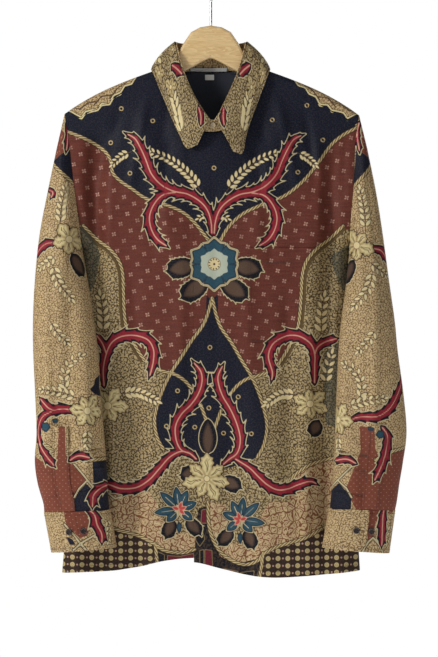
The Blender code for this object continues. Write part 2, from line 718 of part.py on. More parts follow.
def make_cuff_buttons(side, finish):
    for number, degrees in enumerate({"right": (72.0, 97.0), "left": (70.0, 96.0)}[side]):
        turn = np.radians(degrees)
        lapped = turn >= np.radians(CUFF_EDGE_DEG[side])
        start = np.radians(CUFF_EDGE_DEG[side] + CUFF_LAP_DEG)
        travelled = (start - turn) + (2 * math.pi if lapped else 0)
        out = (FUSED + LAYER_GAP) * travelled / (2 * math.pi)
        point = cuff_ring(side, 0.5, turn, out)
        around = cuff_ring(side, 0.5, turn + 0.01, out) - cuff_ring(side, 0.5, turn - 0.01, out)
        axis = cuff_ring(side, 0.6, turn, out) - cuff_ring(side, 0.4, turn, out)
        normal = unit(np.cross(around, axis))
        normal = normal * -np.sign(normal[1])
        make_button(f"cuff_button_{side}_{number + 1}", point + normal * 0.4, normal, 5.0, finish)


def make_collar_button(finish):
    points, _ = stand_grid(np.linspace(4.6, 5 + STAND_LAP, 40), rows=30)
    x, z = COLLAR_BUTTON
    near = np.argmin((points[..., 0] - x) ** 2 + (points[..., 2] - z) ** 2)
    y = points.reshape(-1, 3)[near, 1] - 1.6
    make_button("collar_button", (x, y, z), (0, -1, 0), 4.3, finish, thickness=2.2)


# --- Hanger -----------------------------------------------------------------------------------------
def hanger_outline():
    """Outline of the wood in its own plane: along the top from one tip to the other, and back below."""
    known = column(HANGER, HANGER_COLUMNS, "x")
    arms = np.array([88.0, 105, 125, 145, 165, 185, 197, 206, 211, HANGER_TIP_X])
    xs = np.concatenate([known, arms])
    slope = SHOULDER_SLOPE + 3 * SHOULDER_DROOP * (arms - SHOULDER_X) ** 2
    cloth_under = CLOTH + HANGER_CLEARANCE + HANGER_SLOPE_CLEARANCE * slope**2
    top = np.concatenate([column(HANGER, HANGER_COLUMNS, "top_z"), ridge_z(arms) - cloth_under])
    tip = np.clip((arms - 190) / (HANGER_TIP_X - 190), 0, 1)
    height = HANGER_ARM_HEIGHT * np.sqrt(1 - 0.85 * tip**2)
    under = np.concatenate([column(HANGER, HANGER_COLUMNS, "under_z"), ridge_z(arms) - cloth_under - height])
    upper = [(-x, z) for x, z in zip(xs[::-1], top[::-1])] + list(zip(xs[1:], top[1:]))
    lower = [(x, z) for x, z in zip(xs[::-1], under[::-1])] + [(-x, z) for x, z in zip(xs[1:], under[1:])]
    return upper + lower


def make_hanger(finish):
    mesh = bmesh.new()
    outline = [mesh.verts.new((x * MM, -HANGER_HALF_Y * MM, z * MM)) for x, z in hanger_outline()]
    face = mesh.faces.new(outline)
    made = bmesh.ops.extrude_face_region(mesh, geom=[face])
    back = [item for item in made["geom"] if isinstance(item, bmesh.types.BMVert)]
    bmesh.ops.translate(mesh, verts=back, vec=(0, 2 * HANGER_HALF_Y * MM, 0))
    bmesh.ops.recalc_face_normals(mesh, faces=mesh.faces)
    data = bpy.data.meshes.new("hanger")
    mesh.to_mesh(data)
    mesh.free()
    wood = add_object("hanger", data, finish)
    rounding = wood.modifiers.new("rounded_edges", "BEVEL")
    rounding.width = HANGER_ROUND * MM
    rounding.segments = 2
    rounding.limit_method = "ANGLE"
    rounding.angle_limit = math.radians(50)


def make_hook(finish):
    """Wire hook: a straight shank out of the wood, a short swing aside and a round bend over the seat."""
    middle_z = HOOK_WIRE - HOOK_RADIUS
    points = [(0.0, WOOD_TOP + 0.3), (0.0, WOOD_TOP + 14), (0.0, WOOD_TOP + 28), (0.0, WOOD_TOP + 37)]
    start = math.radians(-52)
    first = (HOOK_RADIUS * math.cos(start), middle_z + HOOK_RADIUS * math.sin(start))
    for t in np.linspace(0, 1, 6)[1:-1]:
        swing = t * t * (3 - 2 * t)
        points.append((first[0] * swing, mix(points[3][1], first[1], t)))
    for angle in np.linspace(start, math.radians(205), 22):
        points.append((HOOK_RADIUS * math.cos(angle), middle_z + HOOK_RADIUS * math.sin(angle)))
    curve = bpy.data.curves.new("hanger_hook", "CURVE")
    curve.dimensions = "3D"
    curve.bevel_depth = HOOK_WIRE * MM
    curve.bevel_resolution = 2
    curve.use_fill_caps = True
    spline = curve.splines.new("POLY")
    spline.points.add(len(points) - 1)
    for slot, (x, z) in zip(spline.points, points):
        slot.co = (x * MM, 0, z * MM, 1)
    hook = bpy.data.objects.new("hanger_hook", curve)
    curve.materials.append(finish)
    shirt.objects.link(hook)


# --- The whole --------------------------------------------------------------------------------------
for old in list(bpy.data.objects):
    bpy.data.objects.remove(old, do_unlink=True)
shirt = bpy.data.collections.new("batik_shirt")
bpy.context.scene.collection.children.link(shirt)

batik = material("batik_cotton", (0.16, 0.06, 0.045), 0.55)
batik_tan = material("batik_cotton_tan", (0.28, 0.2, 0.12), 0.55)
navy = material("batik_cotton_navy", (0.012, 0.016, 0.03), 0.55)
tape = material("neck_tape_cotton", (0.6, 0.6, 0.58), 0.8)
label = material("label_satin", (0.85, 0.85, 0.83), 0.5)
dark_button = material("dark_button_resin", (0.03, 0.02, 0.018), 0.3)
pale_button = material("pale_button_resin", (0.5, 0.42, 0.3), 0.25)
wood = material("varnished_wood", (0.72, 0.52, 0.28), 0.4)
steel = material("steel_wire", (0.6, 0.6, 0.6), 0.25, metallic=1.0)

for wearer_side in ("right", "left"):
    make_front(wearer_side, batik)
    make_sleeve(wearer_side, batik_tan)
    make_placket(wearer_side, batik_tan)
    make_cuff(wearer_side, batik_tan)
    make_cuff_buttons(wearer_side, dark_button)
make_back(batik)
make_yoke(navy)
make_stand(batik_tan)
make_collar(batik_tan)
make_collar_button(pale_button)
make_pocket(batik)
make_strip("neck_tape", (-31, 24), (-163.5, -158.5), CLOTH + LAYER_GAP + 2.6, 0.8, tape)
make_strip("size_label", (-9, 4.5), (-176, -168), CLOTH + LAYER_GAP + 0.8, 0.8, label)
make_hanger(wood)
make_hook(steel)
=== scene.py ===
"""Looks of the batik shirt: printed cloth shells on the form of its solids, seams, buttons, hanger.

Lengths are in millimetres, in the solids' frame (+Z up, front towards -Y, +X to the viewer's right),
and turn into metres where a mesh is made. "right" and "left" in a name are the wearer's. The print is
drawn on a chart in units of 1.5 mm, x to the right and y down, that hangs in front of the shirt.
"""

import math

import bpy
import numpy as np
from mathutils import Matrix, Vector


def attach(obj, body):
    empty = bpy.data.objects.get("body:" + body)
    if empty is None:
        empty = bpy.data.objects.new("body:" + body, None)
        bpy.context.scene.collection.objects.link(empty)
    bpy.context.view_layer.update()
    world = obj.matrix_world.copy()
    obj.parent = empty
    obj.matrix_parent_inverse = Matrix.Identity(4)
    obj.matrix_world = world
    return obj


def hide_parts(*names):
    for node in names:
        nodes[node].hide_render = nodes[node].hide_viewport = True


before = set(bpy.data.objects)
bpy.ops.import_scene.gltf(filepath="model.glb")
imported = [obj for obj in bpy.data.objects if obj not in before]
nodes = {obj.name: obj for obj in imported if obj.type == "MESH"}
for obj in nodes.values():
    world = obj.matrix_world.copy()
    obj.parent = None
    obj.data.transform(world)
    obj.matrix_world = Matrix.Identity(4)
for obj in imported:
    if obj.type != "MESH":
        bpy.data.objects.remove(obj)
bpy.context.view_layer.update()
MM = 0.001

# --- Form of the garment, as in its solids ----------------------------------------------------------
CLOTH = 1.2
FUSED = 1.8
GAP = 0.3
LAYER_GAP = 0.4
ARMHOLE_INSET = 0.28
SHOULDER_X = 88.0
SHOULDER_Z = -164.5
SHOULDER_SLOPE = 0.36
SHOULDER_DROOP = 7.3e-6
RIDGE_RADIUS = 9.0
ARMHOLE_TOP_Z = -229.0
UNDERARM_Z = -430.0
HEM_Z = -915.0
NECK_HALF = 76.0
NECK_FRONT_Z = -259.0
NECK_BACK_Z = -164.0
YOKE_FRONT_SLOPE = 0.57
YOKE_FRONT_Z = -172.8
YOKE_BACK_Z = -252.0
OVERLAP_EDGE_X = -25.0
UNDERLAP_EDGE_X = 13.0
SEAM_SIDE_Z = -246.0

TRUNK_COLUMNS = ("z", "right_x", "left_x", "front_y", "back_y")
TRUNK = (
    (-130, -222, 224, 12, 12),
    (-229, -219, 222, 20, 19),
    (-256, -214.5, 217.5, 24, 23),
    (-332, -205, 213, 32, 30),
    (-400, -195.5, 207.5, 37, 34),
    (-430, -192.5, 206.8, 38, 35),
    (-441, -192.5, 206.8, 38, 35),
    (-455, -192.5, 206.8, 38, 35),
    (-480, -193, 207.5, 38, 36),
    (-540, -197, 209.5, 39, 37),
    (-650, -204, 212.5, 40, 39),
    (-780, -212, 216, 42, 41),
    (-925, -224, 224, 45, 43),
)

HEM_COLUMNS = ("x", "under_z", "upper_z", "back_z")
HEM = (
    (-224, -915.5, -915, -913),
    (-136, -908.5, -909, -908),
    (-108, -904, -906, -905),
    (-76, -896, -901, -898.5),
    (-25, -890.5, -897, -894),
    (19, -889, -907.5, -900),
    (65, -890, -917.5, -905),
    (90, -890, -919.5, -906),
    (148, -891, -917.5, -908),
    (224, -893, -912, -911),
)

SLEEVE_COLUMNS = (
    "right_outer_x", "right_outer_z", "right_inner_x", "right_inner_z",
    "left_outer_x", "left_outer_z", "left_inner_x", "left_inner_z",
    "centre_y", "half_depth",
)
SLEEVE = (
    (-231.0, -280, -191.0, -439, 234.0, -280, 206.5, -439, -4, 31),
    (-245.0, -350, -188.5, -453, 247.5, -350, 205.0, -453, -13, 33),
    (-255.8, -412, -185.0, -471, 256.5, -412, 202.5, -471, -25, 34),
    (-261.8, -478, -180.0, -497, 264.8, -478, 199.5, -495, -37, 34),
    (-264.0, -538, -174.0, -536, 272.7, -538, 193.5, -536, -47, 33),
    (-263.3, -586, -167.3, -582, 276.8, -583, 189.0, -583, -53, 32),
    (-260.3, -646, -163.0, -646, 285.0, -646, 186.0, -644, -57, 31),
    (-258.0, -703, -158.3, -703, 289.5, -703, 183.8, -700, -60, 31),
    (-260.5, -745, -155.0, -740, 284.0, -748, 181.5, -743, -61, 31),
    (-256.5, -778, -153.0, -778, 279.0, -778, 179.3, -778, -61, 31),
    (-248.0, -808, -151.5, -800, 275.0, -806, 177.5, -800, -61, 29),
    (-246.5, -821, -150.5, -817, 272.5, -818, 176.0, -815, -61, 27.5),
)
CUFF_TOP = {"right": (-246.5, -821.5, -150.3, -817.4), "left": (272.3, -818.5, 176.0, -815.4)}
CUFF_END = {"right": (-235.5, -881.0, -141.0, -873.0), "left": (263.5, -882.0, 166.0, -873.5)}
CUFF_HALF_DEPTH = 27.0
CUFF_LAP_DEG = 34.0
CUFF_EDGE_DEG = {"right": 82.0, "left": 78.0}
PLACKET_DEG = {"right": (62.0, 88.0), "left": (66.0, 94.0)}

# Folds and creases: each runs from its top to its end; height is outwards, minus is a trough.
FOLD_COLUMNS = ("top_x", "top_z", "end_x", "end_z", "half_width", "height")
FRONT_FOLDS = (
    (-176, -300, -166, -860, 13, -7.0),
    (-150, -330, -141, -900, 16, 4.5),
    (176, -270, 170, -860, 14, -8.0),
    (150, -300, 146, -900, 16, 5.0),
    (-110, -200, -60, -420, 15, 3.5),
    (112, -200, 70, -400, 15, 3.5),
    (-75, -560, -80, -915, 20, 4.5),
    (80, -600, 84, -920, 24, 6.0),
    (30, -640, 22, -915, 15, -4.0),
    (-118, -620, -118, -912, 14, -4.0),
    (195, -640, 200, -915, 12, 5.0),
)
BACK_FOLDS = (
    (-120, -300, -128, -900, 20, 6.0),
    (-60, -340, -66, -905, 18, -5.0),
    (0, -300, 6, -905, 22, 6.0),
    (64, -340, 70, -905, 18, -5.0),
    (124, -300, 130, -900, 20, 6.0),
    (-168, -420, -172, -900, 14, -5.0),
    (170, -420, 176, -900, 14, -5.0),
)
FRONT_CREASES = (
    (-92, -178, -118, -330, 8, 2.8),
    (-58, -170, -72, -262, 9, -2.2),
    (-128, -196, -160, -300, 9, -2.6),
    (-150, -240, -154, -430, 9, 3.0),
    (-163, -240, -181, -405, 19, -15.0),
    (-190, -300, -188, -432, 10, -5.0),
    (-60, -250, -84, -420, 9, -2.4),
    (95, -182, 124, -320, 8, 2.8),
    (60, -172, 76, -262, 9, -2.2),
    (138, -205, 156, -330, 8, -3.0),
    (158, -250, 164, -430, 8, 3.8),
    (207, -236, 201, -350, 8, -9.0),
    (186, -250, 180, -430, 14, -6.0),
    (62, -262, 90, -440, 9, -2.4),
    (-40, -420, -52, -700, 12, 2.8),
    (-118, -440, -106, -700, 10, -3.2),
    (-160, -500, -150, -760, 8, 3.2),
    (-180, -620, -186, -910, 7, -3.4),
    (52, -430, 60, -690, 13, 2.6),
    (112, -470, 118, -760, 10, -3.4),
    (158, -560, 150, -880, 8, -3.6),
    (186, -480, 176, -700, 6, 2.4),
    (-50, -740, -44, -915, 10, -2.8),
    (-100, -800, -96, -912, 8, 2.8),
    (50, -780, 56, -915, 9, -3.0),
    (112, -760, 118, -915, 10, 3.2),
    (6, -300, 8, -560, 8, -1.4),
)
BACK_CREASES = (
    (-30, -270, -36, -700, 12, -1.8),
    (34, -280, 30, -760, 12, -1.8),
    (-92, -330, -100, -880, 10, 2.0),
    (96, -320, 92, -860, 10, 2.0),
    (-146, -300, -150, -800, 8, -2.2),
    (150, -320, 146, -820, 8, -2.2),
    (-184, -480, -190, -900, 7, 2.0),
    (186, -500, 188, -900, 7, 2.0),
    (-10, -620, -14, -905, 9, 1.6),
)

COLLAR_COLUMNS = (
    "station", "fold_x", "fold_y", "fold_z",
    "right_edge_x", "right_edge_z", "left_edge_x", "left_edge_z", "edge_y",
)
COLLAR = (
    (0.0, 0, 29, -124, 0, -171, 0, -171, 37),
    (1.0, 34, 22, -122, 58, -170, 58, -170, 30),
    (1.6, 50, 11, -120.5, 83, -164, 83, -164, 17),
    (2.0, 55, 2, -120, 90, -161, 89, -161, 1),
    (2.4, 53, -8, -130, 85, -172, 85, -172, -16),
    (3.0, 45, -20, -160, 71, -207, 72, -207, -22),
    (4.0, 25, -32, -206, 47, -262, 53, -262, -34),
    (4.5, 14, -36, -225, 36, -282, 47, -289, -39),
    (5.0, 4, -38, -239, 20, -277, 33, -287, -41),
)
COLLAR_ROLL = 5.0
STAND_LAP = 0.45
STAND_BELOW_FOLD = 1.2
NECK_LIFT = 1.9
NECK_INSIDE = 2.4
STAND_CENTRE = (0.0, -6.0)
# The solid front is a coarse grid, and the pocket covers these rows and columns of it, from and to.
POCKET_ROWS = (8, 12)
POCKET_COLUMNS = (2, 8)
COARSE_ROWS = (8, 14)
COARSE_COLUMNS = 14


# --- Small tools ------------------------------------------------------------------------------------
def column(table, names, name):
    return np.array([row[names.index(name)] for row in table], float)


def smooth(xs, ys, x):
    """Cubic Hermite through the table, with tangents from the neighbours and flat runs past its ends."""
    xs, ys = np.asarray(xs, float), np.asarray(ys, float)
    if xs[0] > xs[-1]:
        xs, ys = xs[::-1], ys[::-1]
    slopes = np.gradient(ys, xs)
    x = np.clip(x, xs[0], xs[-1])
    i = np.clip(np.searchsorted(xs, x) - 1, 0, len(xs) - 2)
    span = xs[i + 1] - xs[i]
    t = (x - xs[i]) / span
    return (
        (2 * t**3 - 3 * t**2 + 1) * ys[i]
        + (t**3 - 2 * t**2 + t) * span * slopes[i]
        + (3 * t**2 - 2 * t**3) * ys[i + 1]
        + (t**3 - t**2) * span * slopes[i + 1]
    )


def trunk(z, name):
    return smooth(column(TRUNK, TRUNK_COLUMNS, "z"), column(TRUNK, TRUNK_COLUMNS, name), z)


def ease(low, high, x):
    """0 below low, 1 above high, smooth between."""
    t = np.clip((x - low) / (high - low), 0, 1)
    return t * t * (3 - 2 * t)


def mix(a, b, t):
    return a + (b - a) * t


def unit(vectors):
    return vectors / np.maximum(np.linalg.norm(vectors, axis=-1, keepdims=True), 1e-9)


def columns_of(table, names):
    return (column(table, names, name) for name in names)


def run_along(line):
    """Length from a line's start to each of its points."""
    return np.concatenate([[0], np.cumsum(np.linalg.norm(np.diff(line, axis=0), axis=1))])


def place_at(at, run, values):
    """Rows of values, known at the lengths in run, at other lengths."""
    return np.stack([np.interp(at, run, part) for part in values.T], -1)


def hand_of(side):
    return 1 if side == "right" else -1


# --- The trunk's form -------------------------------------------------------------------------------
def ridge_z(x):
    """Height of the shoulder line."""
    out = np.abs(x) - SHOULDER_X
    return SHOULDER_Z - SHOULDER_SLOPE * out - SHOULDER_DROOP * np.maximum(out, 0) ** 3


def armhole_share(z):
    """How far the sheets stand open at the armhole: 0 at the underarm and below, near 1 at the shoulder."""
    up = np.clip((z - UNDERARM_Z) / 110.0, 0, 1)
    return 0.93 * np.sqrt(1 - (1 - up) ** 2)


def half_and_centre(z):
    right, left = trunk(z, "right_x"), trunk(z, "left_x")
    return (left - right) / 2, (left + right) / 2


def stretch(z):
    """Half width of the whole oval whose cut at the armhole gives the sheet."""
    half, _ = half_and_centre(z)
    return half / (1 - armhole_share(z) ** 2) ** 0.4


def fold_height(folds, x, z):
    total = np.zeros(np.broadcast(x, z).shape)
    for row in folds:
        fold = dict(zip(FOLD_COLUMNS, row))
        down = (fold["top_z"] - z) / (fold["top_z"] - fold["end_z"])
        along = ease(0.0, 0.25, down) * (1 - ease(0.94, 1.25, down))
        off = x - mix(fold["top_x"], fold["end_x"], down)
        total += fold["height"] * along * np.exp(-((off / fold["half_width"]) ** 2))
    return total


def sheet_point(back, phi, z):
    """Point of the front or back sheet; phi runs from 0 at the wearer's right side to pi at the left."""
    _, centre = half_and_centre(z)
    across = -np.sign(np.cos(phi)) * np.abs(np.cos(phi)) ** 0.8
    x = centre + stretch(z) * across
    below = ridge_z(x) - z
    into = np.clip(below, 0, RIDGE_RADIUS)
    wrap = np.sqrt(np.maximum(RIDGE_RADIUS**2 - (RIDGE_RADIUS - into) ** 2, 0))
    reach = trunk(z, "back_y" if back else "front_y")
    hang = 1 - np.exp(-(np.maximum(below - RIDGE_RADIUS, 0) / 95.0) ** 1.4)
    side = np.sin(phi)
    blunt = mix(1.0, 0.3, ease(UNDERARM_Z, ARMHOLE_TOP_Z, z))
    y = wrap * np.sign(side) * np.abs(side) ** blunt + (reach - RIDGE_RADIUS) * hang * side
    if back:
        y = y + 13 * np.exp(-((x / 62) ** 2) - (np.maximum(below - 20, 0) / 120) ** 2) * ease(4, 30, below)
    else:
        y = y + 9 * np.exp(-((x / 60) ** 2) - (np.maximum(below - 110, 0) / 110) ** 2) * ease(30, 110, below)
    half, _ = half_and_centre(z)
    rim = 1 - ease(0.84, 0.98, np.abs(x - centre) / half)
    open_below = ease(15, 70, below)
    folds = BACK_FOLDS + BACK_CREASES if back else FRONT_FOLDS + FRONT_CREASES
    y = y + fold_height(folds, x, z) * rim * open_below
    return np.stack([x, y if back else -y, np.broadcast_to(z, x.shape)], -1)


def phi_at(x, z):
    _, centre = half_and_centre(z)
    across = np.clip((x - centre) / stretch(z), -1, 1)
    phi = np.arccos(np.abs(across) ** 1.25)
    return np.where(across > 0, math.pi - phi, phi)


def sheet(back, x, z):
    """Points and outward normals of a sheet at the given x and z."""
    phi, step_phi, step_z = phi_at(x, z), 0.01, 1.0
    around = sheet_point(back, phi + step_phi, z) - sheet_point(back, phi - step_phi, z)
    up = sheet_point(back, phi, z + step_z) - sheet_point(back, phi, z - step_z)
    normal = unit(np.cross(around, up))
    return sheet_point(back, phi, z), -normal if back else normal


def front_top_z(x):
    """Upper edge of a front: the yoke seam, then the neckline."""
    out = np.abs(x)
    seam = YOKE_FRONT_Z - YOKE_FRONT_SLOPE * (out - SHOULDER_X)
    side = YOKE_FRONT_Z - YOKE_FRONT_SLOPE * (NECK_HALF - SHOULDER_X)
    neck = side + (NECK_FRONT_Z - side) * np.sqrt(np.maximum(1 - (out / NECK_HALF) ** 2, 0))
    return np.where(out >= NECK_HALF, seam, neck)


def back_neck_z(x):
    return mix(NECK_BACK_Z, ridge_z(NECK_HALF), ease(66, NECK_HALF, np.abs(x)))


def hem(name, x):
    return smooth(column(HEM, HEM_COLUMNS, "x"), column(HEM, HEM_COLUMNS, name), x)


def over_shoulder(x, path):
    """Point of the trunk by its path length from the shoulder line, forwards positive."""
    length = np.abs(path)
    quarter = RIDGE_RADIUS * math.pi / 2
    turned = RIDGE_RADIUS * (1 - np.cos(np.minimum(length, quarter) / RIDGE_RADIUS))
    z = ridge_z(x) - turned - np.maximum(length - quarter, 0)
    phi = phi_at(x, z)
    return np.where((path < 0)[..., None], sheet_point(True, phi, z), sheet_point(False, phi, z))


def path_to(x, z):
    below = ridge_z(x) - z
    quarter = RIDGE_RADIUS * math.pi / 2
    turned = RIDGE_RADIUS * np.arccos(np.clip(1 - below / RIDGE_RADIUS, -1, 1))
    return np.where(below < RIDGE_RADIUS, turned, quarter + below - RIDGE_RADIUS)


def shoulder_sheet(x, path):
    points = over_shoulder(x, path)
    around = over_shoulder(x + 0.5, path) - over_shoulder(x - 0.5, path)
    along = over_shoulder(x, path + 0.5) - over_shoulder(x, path - 0.5)
    normals = unit(np.cross(around, along))
    front_or_back = np.where(path > 0, -1, 1)[..., None]
    return points, normals * np.sign(normals[..., 2:3] + front_or_back * normals[..., 1:2])


# --- Sleeves, cuffs and collar ----------------------------------------------------------------------
def armhole_ring(side, turn):
    """Seam between trunk and sleeve; turn is 0 at the shoulder, pi at the underarm, positive in front."""
    name = side + "_x"
    top = ridge_z(trunk(ARMHOLE_TOP_Z, name))
    z = mix(UNDERARM_Z, top, (1 + np.cos(turn)) / 2)
    x = trunk(z, name)
    phi = phi_at(x, z)
    front, back = sheet_point(False, phi, z), sheet_point(True, phi, z)
    y = np.where(np.sin(turn) > 0, front[..., 1], back[..., 1])
    y = np.where(np.abs(np.sin(turn)) < 1e-6, 0, y)
    outwards = -ARMHOLE_INSET * hand_of(side)
    return np.stack([x + outwards, y, z], -1)


def sleeve_point(side, station, turn):
    """Station 0 is the armhole; the rows of SLEEVE are at 1 and on."""
    stations = np.arange(1, len(SLEEVE) + 1)
    part = {}
    for name in SLEEVE_COLUMNS:
        part[name] = smooth(stations, column(SLEEVE, SLEEVE_COLUMNS, name), np.maximum(station, 1))
    outer = np.stack([part[side + "_outer_x"], part[side + "_outer_z"]], -1)
    inner = np.stack([part[side + "_inner_x"], part[side + "_inner_z"]], -1)
    flat = mix(inner, outer, ((1 + np.cos(turn)) / 2)[..., None])
    sine = np.sin(turn)
    y = part["centre_y"] - part["half_depth"] * np.sign(sine) * np.abs(sine) ** 0.9
    ring = np.stack([flat[..., 0], y, flat[..., 1]], -1)
    return np.where((station < 1)[..., None], mix(armhole_ring(side, turn), ring, station[..., None]), ring)


def cuff_ring(side, down, turn, out):
    """Point of a cuff: down is 0 at its sleeve seam and 1 at its free edge; out is moved outwards."""
    top, end = np.array(CUFF_TOP[side]), np.array(CUFF_END[side])
    edges = mix(top, end, np.asarray(down)[..., None])
    outer, inner = edges[..., 0:2], edges[..., 2:4]
    middle, half = (outer + inner) / 2, (outer - inner) / 2
    length = np.linalg.norm(half, axis=-1)
    flat = middle + half * ((np.cos(turn) * (length + out)) / length)[..., None]
    sine = np.sin(turn)
    y = SLEEVE[-1][SLEEVE_COLUMNS.index("centre_y")] - (CUFF_HALF_DEPTH + out) * sine
    return np.stack([flat[..., 0], y, flat[..., 1]], -1)


def collar_column(name, station):
    return smooth(column(COLLAR, COLLAR_COLUMNS, "station"), column(COLLAR, COLLAR_COLUMNS, name), station)


def fold_line(station):
    """Top of the collar; station is negative on the wearer's right."""
    away = np.abs(station)
    x = np.sign(station) * collar_column("fold_x", away)
    x = x + 2.5 * ease(4.0, 5.0, away)
    return np.stack([x, collar_column("fold_y", away), collar_column("fold_z", away)], -1)


def fall_edge(station):
    away = np.abs(station)
    left = station > 0
    x = np.where(left, collar_column("left_edge_x", away), -collar_column("right_edge_x", away))
    z = np.where(left, collar_column("left_edge_z", away), collar_column("right_edge_z", away))
    return np.stack([x, collar_column("edge_y", away), z], -1)


def horizontal_from(points, centre):
    """Level unit vectors from an upright axis to the points."""
    away = points - [*centre, 0]
    away[..., 2] = 0
    return unit(away)


def neck_seam(station):
    """Foot of the stand: just above the neckline of the yoke and fronts."""
    known = np.array([0.0, 0.5, 1.0, 1.5, 1.8, 2.0, 2.2, 2.5, 3.0, 3.5, 4.0, 4.5, 5.0])
    rows = []
    inside = (NECK_HALF - NECK_INSIDE) / NECK_HALF
    for at in known:
        if at < 2.0:
            x = NECK_HALF * math.sin(math.pi / 4 * at)
            point = sheet(True, np.array(x), back_neck_z(np.array(x)))[0]
        elif at < 2.3:
            point = over_shoulder(np.array(NECK_HALF), np.array((at - 2.0) * 50))
        else:
            x = NECK_HALF * math.cos(math.pi / 2 * (at - 2.2) / 2.8)
            point = sheet(False, np.array(x), front_top_z(np.array(x - 1e-6)))[0]
        x, y = STAND_CENTRE[0] + (point[0] - STAND_CENTRE[0]) * inside, point[1]
        if at < 2:
            y = STAND_CENTRE[1] + (y - STAND_CENTRE[1]) * inside
        rows.append([x, y, point[2] + NECK_LIFT])
    rows = np.array(rows)
    away = np.abs(station)
    x, y, z = (smooth(known, rows[:, i], away) for i in range(3))
    return np.stack([np.sign(station) * x, y, z], -1)


def stand_grid(station, rows=4):
    """The stand between its foot and the fold; past station 5 it laps over its own other end."""
    past = np.maximum(station - 5, 0)
    mirrored = np.where(past > 0, past - 5, station)
    mirrored = np.where(np.abs(mirrored) < 1e-9, 1e-9, mirrored)
    foot, top = neck_seam(mirrored), fold_line(mirrored)
    outwards = horizontal_from(top, STAND_CENTRE)
    layer = FUSED + 3.5 * LAYER_GAP
    top = top - outwards * layer - [0, 0, STAND_BELOW_FOLD]
    points = mix(foot, top, np.linspace(0, 1, rows)[:, None, None])
    under = layer * (1 - ease(-5 + STAND_LAP, -5 + 3 * STAND_LAP, station))
    return points - outwards * under[:, None], np.broadcast_to(outwards, points.shape)


def grid_normals(points, outwards, tube=False):
    """Unit normals of a grid from its own points, turned to the side that outwards points to."""
    if tube:
        around = np.roll(points, -1, 1) - np.roll(points, 1, 1)
    else:
        around = np.gradient(points, axis=1)
    normals = unit(np.cross(around, np.gradient(points, axis=0)))
    return normals * np.sign(np.sum(normals * outwards, -1, keepdims=True))


# --- The print's chart: outlines of its motifs ------------------------------------------------------
CHART_UNIT = 1.5
PRINT_UV = 0.01  # units of the print's UV map for a mm of cloth
MIRROR_X = 216.0  # the print mirrors about a line that passes here at the top of the chart
MIRROR_SLANT = 0.0125  # and leans this much to the left on its way down
# How much lower a motif lies on the mirrored side than on the drawn one.
DROP_COLUMNS = ("down", "drop")
MIRROR_DROP = ((60, 2.0), (150, 1.0), (250, 0.0), (340, 2.5), (450, 8.0), (520, 9.5), (600, 9.5))
CHART_X0 = 211.0  # chart x at the shirt's own centre
CHART_TOP_Z = -57.6
SLEEVE_DROP = ((150, 0), (190, 3), (240, 6), (310, 8), (410, 9), (450, 4), (480, 0))
SLEEVE_MIRROR_X = 213.0


def to_chart(x, z):
    return np.stack([x / CHART_UNIT + CHART_X0, (CHART_TOP_Z - z) / CHART_UNIT], -1)


def mirrored(points):
    points = np.array(points, float)
    points[:, 0] = 2 * (MIRROR_X - MIRROR_SLANT * points[:, 1]) - points[:, 0]
    down, drop = columns_of(MIRROR_DROP, DROP_COLUMNS)
    points[:, 1] += np.interp(points[:, 1], down, drop)
    return points


def sleeve_mirrored(points):
    """The wearer's left sleeve shows the right one's print the other way round, and lower down."""
    points = np.array(points, float)
    points[:, 0] = 2 * SLEEVE_MIRROR_X - points[:, 0]
    down, drop = columns_of(SLEEVE_DROP, DROP_COLUMNS)
    points[:, 1] += np.interp(points[:, 1], down, drop)
    return points


def curve(points, samples=40):
    """Evenly spaced points of a smooth curve through the given ones, with its unit tangents."""
    points = np.asarray(points, float)
    if len(points) == 2:
        points = np.array([points[0], points.mean(0), points[1]])
    steps = np.linalg.norm(np.diff(points, axis=0), axis=1)
    at = np.concatenate([[0], np.cumsum(np.sqrt(steps))])
    fine = np.linspace(0, at[-1], samples * 4)
    dense = np.stack([smooth(at, points[:, i], fine) for i in (0, 1)], -1)
    run = run_along(dense)
    even = np.linspace(0, run[-1], samples)
    line = place_at(even, run, dense)
    return line, unit(np.gradient(line, axis=0))


def sideways(tangents):
    return np.stack([-tangents[:, 1], tangents[:, 0]], -1)


def leaf_width(along, width, belly):
    """Half width from the root to the tip: a slim root, full as far as the blunt tip."""
    return width * (0.16 + 0.4 * along + 0.62 * np.sin(math.pi * along**belly) ** 0.6) * (1 - along**20)


TOOTH_COLUMNS = ("along", "rise")
BODY_TOOTH = ((0.0, 0.1), (0.2, 0.0), (0.5, 0.12), (0.7, 0.4), (0.9, 1.0))
HALO_TOOTH = (
    (0.0, 0.2), (0.1, 0.02), (0.25, 0.0), (0.42, 0.04), (0.58, 0.12), (0.72, 0.3), (0.84, 0.62), (0.93, 1.0),
)


def toothed(line, tangent, half, shape, spacing, tooth, lean):
    """Outline round a spine, its teeth spaced along it and hooked towards the tip."""
    run = run_along(line)
    along, rise = columns_of(shape, TOOTH_COLUMNS)
    count = max(int(run[-1] / spacing), 2)
    sides = []
    for hand, shift in ((1, 0.0), (-1, 0.45)):
        at = ((np.arange(-1, count + 1)[:, None] + along + shift) * run[-1] / count).ravel()
        up = (rise * (0.78 + 0.3 * np.cos(2.4 * np.arange(count + 2) + hand))[:, None]).ravel()
        up, at = up[(at >= 0) & (at <= run[-1])], at[(at >= 0) & (at <= run[-1])]
        point, ahead = place_at(at, run, line), place_at(at, run, tangent)
        width = np.interp(at, run, half)
        reach = np.minimum(tooth, width * 0.8 + 0.3) * up
        out, on = hand * (width + reach), lean * reach
        sides.append(point + sideways(ahead) * out[:, None] + ahead * on[:, None])
    return np.vstack([line[:1], sides[0], line[-1:], sides[1][::-1]])


